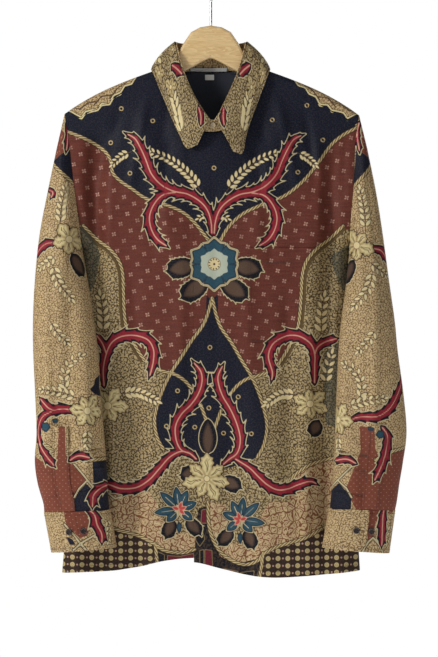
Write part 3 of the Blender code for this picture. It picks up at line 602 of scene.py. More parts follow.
def scroll_leaf(points, width, belly=0.75, spacing=9.4, tooth=0.95):
    """A serrated leaf along a curve, root first: its own outline, the wider one round it, its midrib."""
    line, tangent = curve(points, 60)
    half = leaf_width(np.linspace(0, 1, len(line)), width, belly)
    body = toothed(line, tangent, half * 0.86, BODY_TOOTH, spacing, width * tooth * 0.85, 0.8)
    first, last = line[0] - tangent[0] * 2.0, line[-1] + tangent[-1] * 3.6
    longer = np.vstack([first, line, last])
    facing = np.vstack([tangent[:1], tangent, tangent[-1:]])
    around = np.concatenate([[0.5], half + 1.5, [0.3]])
    halo = toothed(longer, facing, around, HALO_TOOTH, spacing, width * tooth, 0.9)
    return body, halo, line[1:-1]


def turned_to(angle, outline):
    turn = np.array([[math.cos(angle), -math.sin(angle)], [math.sin(angle), math.cos(angle)]])
    return outline @ turn.T


def petal(base, angle, length, width, point=1.0):
    """A petal or leaflet from its base; the larger point is, the sharper its tip."""
    t = np.linspace(0, 1, 14)
    half = width * np.sin(math.pi * t**0.85) ** point
    x = np.concatenate([t, t[::-1]]) * length
    y = np.concatenate([half, -half[::-1]])
    return turned_to(angle, np.stack([x, y], -1)) + np.asarray(base, float)


PETAL_COLUMNS = ("ahead", "aside")
FRILLED_PETAL = ((0.02, 0.05), (0.3, 0.2), (0.52, 0.33), (0.8, 0.44), (0.83, 0.24), (1.02, 0.03))
RAGGED_PETAL = (
    (0.02, 0.06), (0.22, 0.16), (0.4, 0.33), (0.52, 0.3), (0.64, 0.46), (0.74, 0.33), (0.86, 0.4), (0.9, 0.2),
    (1.06, 0.05),
)


def frilled_petal(base, angle, length, breadth=1.0, shape=FRILLED_PETAL):
    """A broad petal with points on each side of its tip."""
    ahead, aside = (part * length for part in columns_of(shape, PETAL_COLUMNS))
    aside = aside * breadth
    outline = np.stack([np.concatenate([ahead, ahead[::-1]]), np.concatenate([aside, -aside[::-1]])], -1)
    return turned_to(angle, outline) + base


VEIN = ((0.26, 0.0), (0.5, 0.06), (0.7, -0.05), (0.84, 0.1))  # share of the petal's length, turn aside


def disc(centre, radius, sides=20):
    turn = np.arange(sides) * 2 * math.pi / sides
    return np.stack([np.cos(turn), np.sin(turn)], -1) * radius + np.asarray(centre, float)


class Print:
    """Outlines and lines of one piece of cloth by class, drawn over one another in a fixed order."""

    def __init__(self):
        self.areas = {}
        self.lines = {}

    def area(self, name, *outlines):
        self.areas.setdefault(name, []).extend(np.asarray(outline, float) for outline in outlines)

    def line(self, name, *paths):
        self.lines.setdefault(name, []).extend(np.asarray(path, float) for path in paths)

    def leaf(self, points, width, belly=0.75):
        body, halo, midrib = scroll_leaf(points, width, belly)
        self.area("crimson", body)
        self.area("halo", halo)
        self.line("midrib", midrib)

    def brown_leaf(self, base, angle, length, width):
        ahead = np.array([math.cos(angle), math.sin(angle)])
        points = [base + ahead * length * s for s in (0.0, 0.5, 1.0)]
        _, halo, _ = scroll_leaf(points, width, 0.8, 4.6, 0.22)
        foot = base + ahead * length * 0.04
        self.area("brown", petal(foot, angle, length * 0.9, width * 0.84, 0.72))
        self.area("halo", halo)

    def bud(self, base, angle, length, width):
        """A closed bud: brown, in a dark ground with a pale outline."""
        self.area("sheath", petal(base, angle, length, width, 0.75))
        self.area("halo", petal(np.asarray(base, float), angle, length + 4, width + 3.6, 0.6))

    def sprig(self, points, pairs, leaflet=6.0, spread=0.68):
        """A wheat sprig: paired leaflets along a stem, with one at its tip."""
        line, tangent = curve(points, pairs * 2 + 2)
        self.line("stem", line)
        for i in range(2, len(line), 2):
            heading = math.atan2(tangent[i, 1], tangent[i, 0])
            size = leaflet * (1 - 0.35 * i / len(line))
            for hand in (-1, 1):
                foot = line[i] + sideways(tangent[i : i + 1])[0] * hand * 0.7
                self.area("leaflet", petal(foot, heading + hand * spread, size, size * 0.215, 0.85))
        heading = math.atan2(tangent[-1, 1], tangent[-1, 0])
        self.area("leaflet", petal(line[-1], heading, leaflet * 0.8, leaflet * 0.16, 0.85))

    def bloom(self, centre, radius, petals=5, turn=0.0, colour="cream", heart=0.2):
        """A flower of ragged petals, with lines down each of them and a round heart."""
        centre = np.asarray(centre, float)
        for i in range(petals):
            angle = turn + 2 * math.pi * i / petals
            long = radius * (0.93 + 0.12 * math.cos(2.4 * i))
            self.area(colour, frilled_petal(centre, angle, long, 4.7 / petals, RAGGED_PETAL))
            for off in (-0.5, 0.5):
                side = angle + off / petals
                vein = [long * s * np.array([math.cos(side + t), math.sin(side + t)]) for s, t in VEIN]
                self.line("vein", centre + np.array(vein))
        self.area("heart", disc(centre, radius * heart))

    def rope(self, points, samples=60):
        self.line("rope", curve(points, samples)[0])

    def ring(self, *centres, radius=1.9):
        self.line("ring", *[np.vstack([disc(c, radius, 14), disc(c, radius, 14)[:1]]) for c in centres])


# --- Distances from the chart's outlines ------------------------------------------------------------
FAR = 12.0  # chart units; farther than this every distance reads the same


def near(points, outline):
    low, high = outline.min(0) - FAR, outline.max(0) + FAR
    return np.nonzero(np.all((points >= low) & (points <= high), axis=1))[0]


def to_segments(points, path):
    """Distance from each point to a path and the length along the path at the nearest place."""
    best = np.full(len(points), np.inf)
    along = np.zeros(len(points))
    run = 0.0
    for a, b in zip(path[:-1], path[1:]):
        way = b - a
        length = float(np.hypot(*way))
        if length < 1e-9:
            continue
        t = np.clip(((points - a) @ way) / length**2, 0, 1)
        off = points - a - t[:, None] * way
        distance = np.hypot(off[:, 0], off[:, 1])
        closer = distance < best
        best = np.where(closer, distance, best)
        along = np.where(closer, run + t * length, along)
        run += length
    return best, along


def inside(points, outline):
    """Nonzero winding test."""
    winding = np.zeros(len(points), int)
    x, y = points[:, 0], points[:, 1]
    for a, b in zip(outline, np.roll(outline, -1, 0)):
        left = (b[0] - a[0]) * (y - a[1]) - (x - a[0]) * (b[1] - a[1])
        winding += (a[1] <= y) & (b[1] > y) & (left > 0)
        winding -= (a[1] > y) & (b[1] <= y) & (left < 0)
    return winding != 0


def area_field(points, outlines):
    """Signed distance in mm to the nearest outline, minus inside."""
    field = np.full(len(points), FAR)
    for outline in outlines:
        at = near(points, outline)
        if len(at) == 0:
            continue
        distance, _ = to_segments(points[at], np.vstack([outline, outline[:1]]))
        signed = np.where(inside(points[at], outline), -distance, distance)
        field[at] = np.minimum(field[at], signed)
    return field * CHART_UNIT


def side_of(points, path):
    """1 on the left of a path and -1 on its right, at the nearest of its corners."""
    nearest = np.argmin(((points[:, None] - path[None, :-1]) ** 2).sum(-1), axis=1)
    way = np.diff(path, axis=0)[nearest]
    off = points - path[nearest]
    return np.sign(way[:, 0] * off[:, 1] - way[:, 1] * off[:, 0] + 1e-12)


def line_field(points, paths, slant=0.0):
    """Distance in mm to the nearest path, and how far along it, with slant times the signed distance."""
    field, along = np.full(len(points), FAR), np.zeros(len(points))
    for path in paths:
        at = near(points, path)
        if len(at) == 0:
            continue
        distance, run = to_segments(points[at], path)
        closer = distance < field[at]
        if slant:
            run = run + slant * distance * side_of(points[at], path)
        field[at] = np.where(closer, distance, field[at])
        along[at] = np.where(closer, run, along[at])
    return field * CHART_UNIT, along * CHART_UNIT


# Each vector attribute of a printed mesh carries three distances.
PRINT_FIELDS = {
    "print_ground": ("maroon", "navy", "dotted"),
    "print_ground2": ("blush", "rust", "band"),
    "print_ground3": ("dark", "wine", "olive"),
    "print_ground4": ("bark", "painted_side_shade", "slate"),
    "print_leaf": ("crimson", "brown", "leaflet"),
    "print_wrap": ("halo", "sheath", "ink"),
    "print_bloom": ("cream", "teal", "heart"),
    "print_flower": ("rim", "pale", "seed"),
    "print_line": ("midrib", "stem", "vein"),
    "print_line2": ("ring", "rope_twist", "rope"),
    "print_small": ("bead", "coral", "twig"),
}
LINE_NAMES = ("midrib", "stem", "vein", "ring", "twig")


# --- The print's motifs, in chart units -------------------------------------------------------------
# Scroll leaves of the viewer's left half, root first; each is mirrored to the right half.
FRONT_LEAVES = (
    # points, width
    (((212, 236), (211, 222), (207.5, 211), (201, 203), (188, 195), (174, 192), (162, 186), (152, 175),
      (146, 160), (141, 149), (135, 139), (126, 134)), 5.0),
    (((177, 193), (163, 196), (154, 206), (150, 218), (152, 230), (158, 240), (168, 247)), 4.6),
)
SIDE_LEAVES = (
    # points, width, of the viewer's left half and then of the right one
    (((105, 387), (104, 369), (107, 354), (112, 343), (120, 337), (130, 335), (140, 336), (149, 340),
      (154, 349), (154, 360), (150, 377)), 5.0),
    (((107, 353), (103, 343), (97, 335)), 3.2),
    (((198, 459), (190, 452), (182, 449), (177, 440), (176, 425), (182, 413), (191, 404), (198, 394),
      (202, 382), (201, 371), (193, 361)), 4.7),
    (((190, 452), (182, 450), (171, 455), (160, 467), (150, 478), (137, 486), (122, 487), (107, 483),
      (96, 490)), 4.8),
    (((314, 384), (314, 365), (314, 354), (311, 345), (306, 340), (299, 336), (289, 335), (280, 338),
      (273, 343), (269, 350), (268, 357), (270, 365), (272, 372), (271, 381)), 5.0),
    (((314, 354), (317, 347), (324, 342), (337, 338)), 4.0),
    (((222, 464), (229, 458), (236, 453), (239, 447), (240, 437), (238, 427), (234, 416), (229, 406),
      (223, 396), (219, 385), (218, 376), (223, 364)), 4.7),
    (((234, 457), (241, 461), (250, 467), (258, 475), (267, 483), (277, 488), (288, 487), (298, 483),
      (310, 480), (317, 483)), 4.8),
)
FRONT_SPRIGS = (
    # points, pairs, leaflet
    (((201, 192), (191, 178), (178, 166), (165, 158), (152, 153)), 11, 8.0),
    (((132, 152), (122, 157), (113, 165)), 5, 6.5),
    (((210, 221), (205, 217), (199, 219)), 2, 6.0),
    (((103, 336), (104, 322), (103, 308), (101, 296)), 5, 10.5),
)
SIDE_SPRIGS = (
    (((121, 393), (138, 392), (157, 400)), 7, 8.5),
    (((297, 394), (281, 394), (266, 403)), 7, 8.5),
    (((325, 388), (326, 374), (331, 354)), 4, 9.5),
)
CHEST_ROPE = (
    (68, 132), (83, 138), (98, 146), (108, 155), (112, 165), (113, 173), (120, 181), (133, 190), (146, 199),
    (164, 205), (175, 209), (186, 215), (197, 226), (208, 240),
)
SIDE_ROPE = (
    (84, 226), (98, 240), (110, 249), (119, 260), (123, 272), (124, 291), (125, 313), (127, 327), (133, 340),
    (139, 351), (145, 360),
)
DROP_ROPE = (
    (212, 298), (208, 313), (203, 325), (192, 340), (182, 356), (172, 371), (164, 387), (158, 404),
    (155, 419), (158, 437), (164, 448),
)
BARK_WIDTH = 4.6  # of the brown strip inside each side rope
HEM_EDGE = ((98, 518), (116, 527), (130, 531), (145, 536))
BORDER_END = ((156, 541), (157, 552), (159, 568))
FOOT_EDGE = ((163, 547), (174, 550), (185, 550), (196, 546), (209, 538))
FRONT_ROPES = (
    SIDE_ROPE,
    ((156, 368), (165, 371), (176, 374), (185, 380), (192, 388)),
    DROP_ROPE,
    ((201, 404), (207, 421)),
    HEM_EDGE + ((156, 542),),
    BORDER_END,
)
ROPE_RIGHT = (
    (372, 118), (356, 128), (344, 134.5), (334, 142), (327, 150), (321, 159), (314, 168), (307, 177),
    (298, 186), (288, 194), (279, 199), (268, 202), (258, 207), (247, 212), (238, 218), (228, 228),
    (221, 240),
)
MAROON_RIGHT = (
    *ROPE_RIGHT, (216, 246), (216, 298), (213, 320), (222, 345), (236, 368), (252, 375), (262, 371),
    (271, 368), (283, 360), (289, 351), (294, 340), (300, 327), (302, 313), (304, 291), (306, 272),
    (309, 260), (318, 249), (331, 238), (346, 230), (372, 224),
)
NAVY_RIGHT = (*ROPE_RIGHT, (216, 246), (210, 246), (210, 60), (288, 60), (372, 100))
FRONT_TWIGS = (((102, 486), (116, 497), (126, 494)),)
CENTRE_TWIGS = (((204, 372), (219, 372)), ((201, 390), (208, 390)), ((213, 390), (219, 391)))
FRONT_RINGS = (
    (121.5, 109), (153, 121.5), (111, 143), (130.5, 174), (178, 390), (167, 425), (195, 426), (306.7, 105.7),
    (272, 120.5), (322.5, 140.5), (297.4, 173), (238, 396), (223.5, 432), (251, 432.5),
)
CENTRE_RINGS = ((214, 169), (210, 347), (209, 407))
# Grounds: the maroon chest field, the navy above it, the drop below and the dotted hem corners.
MAROON_LEFT = (
    (60, 128), *CHEST_ROPE[1:], (218, 246), (218, 298), *DROP_ROPE[1:5], (172, 373), (165, 371), (156, 368),
    *SIDE_ROPE[::-1], (60, 220),
)
NAVY_LEFT = ((218, 60), (140, 60), (100, 84), (84, 101), (56, 112), (56, 128), *CHEST_ROPE[1:], (218, 246))
DROP_LEFT = ((218, 294), (212, 300), *DROP_ROPE[1:], (184, 456), (200, 460), (218, 462))
DOTTED_LEFT = ((40, 516), *HEM_EDGE, *BORDER_END, (160, 600), (40, 600))
BLUSH_LEFT = (
    (104, 488), (130, 491), (150, 490), (158, 502), (164, 520), (172, 533), (190, 530), (198, 522),
    (205, 520), *FOOT_EDGE[::-1], (155, 542), *HEM_EDGE[::-1],
)
FOOT_LEFT = ((156, 541), *FOOT_EDGE, (218, 534), (218, 600), (158, 600), (158, 560))
FOOT_WINE = (
    ((168, 553), (180, 554), (194, 551), (194, 568), (168, 568)),
    ((205, 547), (212, 548), (213, 572), (205, 572)),
    ((224, 566), (238, 569), (238, 580), (224, 580)),
    ((258, 568), (266, 562), (268, 580), (256, 580)),
)
FOOT_NAVY = (
    ((158, 549), (165, 552), (165, 570), (159, 570)),
    ((200, 548), (204, 547), (204, 574), (200, 574)),
    ((195, 521), (202, 527), (205, 537), (200, 544), (196, 538)),
    ((240, 570), (254, 568), (252, 580), (242, 580)),
)
BLUSH_RIGHT = ((286, 488), (296, 474), (306, 466), (320, 461), (345, 455), (345, 524), (322, 522), (300, 522))
CENTRE_DARK = (
    (199, 506), (209, 504), (209, 523), (213, 538), (219, 549), (219, 600), (195, 600), (195, 548),
    (196, 523),
)
CENTRE_WINE = ((202, 508), (207, 507), (207, 521), (201, 521))
CENTRE_BLUSH = ((210, 500), (224, 503), (230, 520), (227, 546), (217, 543), (211, 525))
LONE_ROPES = (
    ((287, 480), (296, 472), (306, 465), (320, 460), (340, 456)),
    ((156, 542), (163, 547), (174, 550), (185, 550), (195, 547)),
    ((208, 500), (209, 523), (213, 537), (220, 549), (230, 557), (245, 562), (257, 558), (263, 551)),
)
YOKE_BAND_LEFT = (
    (64, 109), (70, 114), (76, 117), (82, 119.5), (86, 114), (93, 112), (98, 111), (102, 106), (110, 105),
    (114, 98), (121, 95), (125, 89), (132, 87), (136, 80), (133, 72), (126, 70), (126, 58), (106, 66),
    (80, 82), (60, 98),
)
YOKE_SLATE_LEFT = ((106, 86), (116, 82), (126, 78), (126, 70), (104, 78))
# Painted shade: grey-green patches beside the sleeves that stand in for the shade between the sleeves and the
# trunk.
SIDE_PAINTED_SHADE = (
    (
        (50, 206), (78, 224), (90, 234), (97, 245), (101, 256), (98, 270), (94, 286), (86, 300), (70, 308),
        (50, 310),
    ),
    ((331, 256), (345, 246), (382, 236), (382, 300), (356, 298), (341, 288), (334, 272)),
    ((324, 352), (336, 343), (382, 336), (382, 432), (345, 428), (326, 424), (322, 400)),
)
YOKE_VEINS_LEFT = (
    ((72, 110), (80, 112), (88, 106), (96, 104)),
    ((94, 108), (102, 99), (112, 98)),
    ((110, 101), (118, 91), (128, 84)),
)
YOKE_RUST_LEFT = ((138, 85), (139, 74), (150, 64), (158, 64), (154, 77), (146, 82))
# Petals of the lotus and points of its star: degrees, length.
LOTUS_PETALS = ((-137, 26), (-98, 23), (-66, 21), (-22, 19), (38, 17), (173, 25), (136, 17))
LOTUS_STAR = ((-72, 8.5), (-160, 7.5), (-20, 8), (42, 7.5))


def both(points):
    return np.asarray(points, float), mirrored(points)


def heading(degrees):
    angle = math.radians(degrees)
    return angle, np.array([math.cos(angle), math.sin(angle)])


FLOWER_PETALS = 6
FLOWER_SEEDS = 11
FLOWER_LAYERS = (("rim", 27.0), ("teal", 24.6), ("pale", 15.0))  # lengths of its petals


def draw_central_flower(cloth, centre):
    """A flower of teal frilled petals with cream rims and a seeded heart, over four brown leaves."""
    centre = np.array(centre, float)
    leaves = (((-20, 1), 168, 27), ((-8, 17), 146, 29), ((20, 1), 12, 27), ((8, 17), 34, 29))
    for base, degrees, length in leaves:
        cloth.brown_leaf(centre + base, math.radians(degrees), length, 9.0)
    for i in range(FLOWER_PETALS):
        angle, _ = heading(i * 360 / FLOWER_PETALS - 90)
        for name, length in FLOWER_LAYERS:
            cloth.area(name, frilled_petal(centre, angle, length))
    cloth.area("heart", disc(centre, 6.0))
    for i in range(FLOWER_SEEDS):
        angle, ahead = heading(i * 360 / FLOWER_SEEDS)
        cloth.area("seed", petal(centre + ahead * 3.8, angle, 2.4, 0.7))
    cloth.area("seed", disc(centre, 1.2, 10))


def draw_lotus(cloth, centre, hand):
    """Teal petals fanned round a coral star, over brown leaves."""
    centre = np.array(centre, float)

    def facing(degrees):
        return heading(degrees if hand > 0 else 180 - degrees)

    for degrees, length in LOTUS_PETALS:
        angle, ahead = facing(degrees)
        cloth.area("teal", petal(centre + ahead * 4, angle, length - 4, 4.4, 0.75))
        cloth.area("rim", petal(centre, angle, length + 1.2, 5.2, 0.75))
        cloth.line("twig", np.array([centre + ahead * length * t for t in (0.2, 0.45, 0.7)]))
    for degrees, length in LOTUS_STAR:
        angle, _ = facing(degrees)
        cloth.area("coral", petal(centre, angle, length, 1.9, 0.8))
    for across, degrees in ((-6, 112), (8, 48)):
        angle, _ = facing(degrees)
        cloth.brown_leaf(centre + [hand * across, 10], angle, 19, 6.0)
    angle, _ = heading(90)
    cloth.area("teal", petal(centre + [0, 12], angle, 12, 2.6, 0.9))


def draw_trunk():
    """The print of the fronts, and with it of the back, with grey-green painted shade beside the sleeves."""
    cloth = Print()
    cloth.area("olive", [(-400, -400), (900, -400), (900, 1200), (-400, 1200)])
    grounds = (
        ("navy", DROP_LEFT), ("dotted", DOTTED_LEFT), ("blush", BLUSH_LEFT),
        ("dark", FOOT_LEFT), ("band", YOKE_BAND_LEFT), ("rust", YOKE_RUST_LEFT),
    )
    for name, zone in grounds:
        cloth.area(name, *both(zone))
    cloth.area("maroon", MAROON_LEFT, MAROON_RIGHT)
    cloth.area("navy", NAVY_LEFT, NAVY_RIGHT)
    # Painted shade beside the sleeves, drawn as an area of the print.
    cloth.area("painted_side_shade", *SIDE_PAINTED_SHADE)
    cloth.area("slate", *both(YOKE_SLATE_LEFT))
    cloth.area("dark", CENTRE_DARK)
    cloth.area("blush", CENTRE_BLUSH, BLUSH_RIGHT)
    cloth.area("wine", CENTRE_WINE, *FOOT_WINE)
    cloth.area("ink", *FOOT_NAVY)
    for points, width in FRONT_LEAVES:
        for half in both(points):
            cloth.leaf(half, width)
    for points, width in SIDE_LEAVES:
        cloth.leaf(points, width)
    for points, pairs, leaflet in FRONT_SPRIGS:
        for half in both(points):
            cloth.sprig(half, pairs, leaflet)
    for points, pairs, leaflet in SIDE_SPRIGS:
        cloth.sprig(points, pairs, leaflet)
    cloth.rope(CHEST_ROPE)
    cloth.rope(ROPE_RIGHT)
    for points in FRONT_ROPES:
        for half in both(points):
            cloth.rope(half)
    for half in both(SIDE_ROPE):
        line, tangent = curve(half, 50)
        outer = line + sideways(tangent) * math.copysign(BARK_WIDTH, MIRROR_X - half[0][0])
        cloth.area("bark", np.vstack([line, outer[::-1]]))
    for points in LONE_ROPES:
        cloth.rope(points)
    cloth.line("twig", *FRONT_TWIGS)
    for points in YOKE_VEINS_LEFT:
        cloth.line("stem", *both(points))
    cloth.line("twig", *CENTRE_TWIGS)
    cloth.ring(*np.array(FRONT_RINGS, float))
    cloth.ring(*np.array(CENTRE_RINGS, float))
    cloth.bloom((108.5, 405), 19, 6, 0.05)
    cloth.bloom((309.5, 403), 17, 6, 0.4)
    cloth.brown_leaf(np.array([318.0, 420.0]), 2.0, 16, 6.5)
    draw_central_flower(cloth, (214.3, 264.4))
    # The open flower under the drop, with its bud and two brown leaves.
    cloth.bud((208, 453), -math.pi / 2, 32, 5.6)
    cloth.bloom((207, 477), 23.0, 7, -math.pi / 2, "cream", 0.12)
    for base, degrees, length in (((198, 471), 172, 17), ((222, 478), 24, 20)):
        cloth.brown_leaf(np.array(base, float), math.radians(degrees), length, 7.0)
    draw_lotus(cloth, (179.5, 507.6), 1)
    draw_lotus(cloth, (240, 518), -1)
    return cloth


# Sleeve motifs as they hang in front view, on the viewer's left; the other sleeve has them mirrored.
SLEEVE_LEAVES = (
    # points, width
    (((67, 122), (69, 134), (67, 152)), 2.4),
    (((58, 243), (47, 245), (38, 257)), 3.8),
    (((72, 458), (81, 453), (93, 455)), 3.2),
)
ONE_SLEEVE_LEAVES = {
    "right": (
        (((80, 410), (67, 407), (55, 408), (43, 397)), 4.4),
        (((56, 409), (45, 416), (41, 430), (44, 444)), 4.2),
        (((42, 441), (50, 454), (58, 463)), 3.8),
        (((113, 482), (103, 485), (96, 492), (95, 504)), 4.4),
        (((49, 190), (54, 193), (52, 199)), 2.4),
    ),
    "left": (
        (((347, 420), (353, 416), (362, 415), (371, 415), (378, 413), (387, 406), (395, 392),
          (399, 374)), 4.4),
        (((378, 424), (384, 433), (383, 447), (379, 461), (371, 478)), 4.2),
    ),
}
SLEEVE_SPRIGS = (
    # points, pairs, leaflet
    (((62, 228), (63, 208), (67, 188)), 6, 8.5),
    (((60, 255), (50, 263), (41, 269)), 4, 7.5),
    (((55, 262), (60, 281), (74, 299)), 6, 8.5),
    (((82, 397), (64, 391), (45, 388)), 6, 8.0),
    (((71, 393), (67, 381), (69, 368), (76, 359), (84, 355)), 6, 8.0),
    (((90, 424), (90, 434), (90, 444)), 3, 8.0),
    (((52, 318), (60, 332), (70, 342)), 4, 7.5),
)
SLEEVE_ROPES = (((50, 163), (61, 172), (75, 187)), ((85, 458), (97, 457), (112, 456)))
SLEEVE_TWIGS = (((77, 461), (88, 474), (97, 486)), ((90, 477), (82, 485), (77, 494)))
SLEEVE_BLOOMS = (((71, 240), 17.0, 5, 0.35, "cream"), ((90, 409), 17.5, 6, 0.1, "cream"))
SLEEVE_GROUNDS = (
    ("rust", ((40, 126), (62, 130), (70, 138), (72, 146), (63, 154), (56, 160), (44, 158))),
    ("navy", ((44, 158), (56, 160), (63, 154), (74, 148), (78, 188), (75, 187), (61, 172), (50, 163))),
    ("navy", ((95, 459), (118, 457), (118, 480), (96, 480))),
    ("navy", ((89, 480), (96, 488), (112, 488), (116, 512), (78, 512), (77, 493))),
    ("navy", ((92, 388), (96, 384), (97, 378), (101, 373), (101, 386), (104, 396), (97, 393))),
    ("teal", ((45, 421), (51, 420), (54, 425), (50, 430), (45, 428))),
    ("teal", ((55, 417), (61, 416), (61, 421), (56, 421))),
)
SLEEVE_RUST = {
    "right": (
        (26, 452), (44, 458), (56, 463), (61, 452), (62, 424), (68, 424), (69, 452), (77, 461), (89, 477),
        (77, 492), (78, 512), (60, 514), (26, 512),
    ),
    "left": (
        (357, 424), (371, 425), (372, 446), (376, 456), (388, 449), (412, 443), (412, 512), (360, 514),
        (351, 502), (344, 484), (352, 464), (358, 448),
    ),
}
ONE_SLEEVE_ROPES = {
    "right": (((42, 439), (50, 443), (56, 448)),),
    "left": (((372, 457), (386, 450), (408, 444)),),
}
SLEEVE_BEADS = ((48, 140), (56, 146), (62, 138), (50, 152), (58, 153), (66, 146))


def draw_sleeve(side, unroll):
    """The print of a sleeve, moved on to its unrolled cloth by unroll."""
    cloth = Print()

    def flat(points):
        return unroll(points if side == "right" else sleeve_mirrored(points))

    for name, outline in SLEEVE_GROUNDS:
        cloth.area(name, flat(outline))
    for points, width in SLEEVE_LEAVES:
        cloth.leaf(flat(points), width)
    for points, width in ONE_SLEEVE_LEAVES[side]:
        cloth.leaf(unroll(points), width)
    for points, pairs, leaflet in SLEEVE_SPRIGS:
        cloth.sprig(flat(points), pairs, leaflet)
    for points in SLEEVE_ROPES:
        cloth.rope(flat(points))
    for points in ONE_SLEEVE_ROPES[side]:
        cloth.rope(unroll(points))
    cloth.area("rust", unroll(SLEEVE_RUST[side]))
    for points in SLEEVE_TWIGS:
        cloth.line("twig", flat(points))
    for centre, radius, petals, turn, colour in SLEEVE_BLOOMS:
        cloth.bloom(flat([centre])[0], radius, petals, turn, colour)
    base, tip = flat([(74, 255), (85, 276)])
    along = tip - base
    cloth.brown_leaf(base, math.atan2(along[1], along[0]), float(np.hypot(*along)), 6.0)
    cloth.area("bead", *[disc(at, 1.1, 8) for at in flat(SLEEVE_BEADS)])
    return cloth


# A cuff as it hangs in front view, in chart units across from its middle and down from its top edge.
CUFF_FACE = 33.0  # half its width
CUFF_GIRTH = 26.7  # chart units of its unrolled band for a radian round it
CUFF_LEAVES = {
    "right": (((10.8, -3), (17, 3.5), (18.5, 15.5), (21, 24), (20, 34)), 4.2),
    "left": (((21, -4), (20.8, 6), (22.2, 19), (24, 34)), 3.6),
}
CUFF_SPRIGS = {
    "right": (((28, 6), (29, 18), (26, 32)), 4, 7.0),
    "left": (((29, 8), (30, 18), (29, 30)), 3, 6.0),
}
CUFF_TWIGS = {
    "right": (((-13.8, 12), (-5, 25), (3.3, 39)), ((16, 24), (2.9, 30.5), (-9.6, 38.6))),
    "left": (((14, 26), (10, 30), (5, 40)), ((14, 26), (22, 33), (26, 40))),
}
CUFF_GROUNDS = {
    "right": (
        (
            "rust",
            ((-12, -3), (-12.5, 8), (-12, 12), (-7, 19), (0, 27), (6, 25), (12, 17), (15.5, 6), (9.5, -3)),
        ),
        ("navy", ((-14, 25), (-9, 27), (-6, 33), (-12, 33))),
        ("navy", ((10, -3), (32, -3), (32, 0), (18, 1))),
    ),
    "left": (
        ("rust", ((5, -3), (31, -3), (30, 2), (17, 3), (14, 14), (15, 26), (9, 31), (7, 14))),
        ("navy", ((-31, -3), (-12, -3), (-14, 0), (-30, 1))),
    ),
}


def draw_cuff(side):
    """The print of a cuff, drawn again once round it either way for the cloth that laps."""
    cloth = Print()

    def flat(points):
        points = np.array(points, float)
        points[:, 0] = CUFF_GIRTH * np.arcsin(np.clip(points[:, 0] / CUFF_FACE, -1, 1))
        once_round = np.array([2 * math.pi * CUFF_GIRTH, 0.0])
        return points, points + once_round, points - once_round

    for name, outline in CUFF_GROUNDS[side]:
        cloth.area(name, *flat(outline))
    points, width = CUFF_LEAVES[side]
    for path in flat(points):
        cloth.leaf(path, width)
    points, pairs, leaflet = CUFF_SPRIGS[side]
    for path in flat(points):
        cloth.sprig(path, pairs, leaflet)
    for points in CUFF_TWIGS[side]:
        cloth.line("twig", *flat(points))
    return cloth


# x is the length along the collar from its centre back, y the distance down from its fold.
COLLAR_SPRIGS = (
    (((143, 36), (132, 31), (123, 25), (112, 21)), 5, 13.0),
    (((12, 40), (28, 30), (46, 22), (64, 20)), 6, 13.0),
    (((14, 6), (28, 12), (44, 6)), 4, 11.0),
)
COLLAR_LEAVES = (
    (((86, 8), (95, 4), (105, 1)), 3.4),
    (((157, 12), (153, 5), (146, 1)), 3.0),
)


def draw_collar():
    cloth = Print()
    cloth.area("olive", [(-400, -400), (400, -400), (400, 400), (-400, 400)])
    for hand in (1, -1):
        turned = np.array([hand, 1.0])
        for points, pairs, leaflet in COLLAR_SPRIGS:
            cloth.sprig(np.array(points) * turned, pairs, leaflet)
        for points, width in COLLAR_LEAVES:
            cloth.leaf(np.array(points) * turned, width)
        for place, radius in (((102.0, 18.0), 9.5), ((79.0, 26.0), 9.0), ((72.0, 3.0), 7.0)):
            cloth.bloom(np.array(place) * turned, radius, 5, 0.3)
    return cloth


# --- Meshes -----------------------------------------------------------------------------------------
def put_fields(mesh, cloth, points):
    """Writes the print's distances at each vertex; points are the vertices on the chart."""
    rope, twist = line_field(points, cloth.lines.get("rope", []), slant=2.2)
    known = {"rope": rope, "rope_twist": twist}
    for name in LINE_NAMES:
        known[name] = line_field(points, cloth.lines.get(name, []))[0]
    for attribute, names in PRINT_FIELDS.items():
        values = []
        for name in names:
            if name not in known:
                known[name] = area_field(points, cloth.areas.get(name, []))
            values.append(known[name])
        layer = mesh.attributes.new(attribute, "FLOAT_VECTOR", "POINT")
        layer.data.foreach_set("vector", np.stack(values, -1).astype(np.float32).ravel())


def grid_faces(rows, columns, first=0, tube=False, turned=False):
    across = columns if tube else columns - 1
    r, c = np.meshgrid(np.arange(rows - 1), np.arange(across), indexing="ij")
    d = (c + 1) % columns
    quads = np.stack([r * columns + c, (r + 1) * columns + c, (r + 1) * columns + d, r * columns + d], -1)
    quads = quads.reshape(-1, 4) + first
    return quads[:, ::-1] if turned else quads


def faces_outwards(points, normals):
    """Whether grid_faces winds outwards on these points."""
    middle = points.shape[0] // 2
    a, b, c = points[middle, 0], points[middle + 1, 0], points[middle, 1]
    return np.dot(np.cross(b - a, c - a), normals[middle, 0]) > 0


def new_mesh(name, points, faces, finishes, face_slots=None):
    mesh = bpy.data.meshes.new(name)
    mesh.vertices.add(len(points))
    mesh.vertices.foreach_set("co", (np.asarray(points) * MM).astype(np.float32).ravel())
    faces = np.asarray(faces)
    mesh.loops.add(faces.size)
    mesh.loops.foreach_set("vertex_index", faces.astype(np.int32).ravel())
    mesh.polygons.add(len(faces))
    mesh.polygons.foreach_set("loop_start", np.arange(0, faces.size, faces.shape[1], dtype=np.int32))
    mesh.update(calc_edges=True)
    for finish in finishes:
        mesh.materials.append(finish)
    if face_slots is not None:
        mesh.polygons.foreach_set("material_index", np.asarray(face_slots, np.int32))
    mesh.polygons.foreach_set("use_smooth", np.ones(len(faces), bool))
    obj = bpy.data.objects.new(name, mesh)
    bpy.context.scene.collection.objects.link(obj)
    return obj


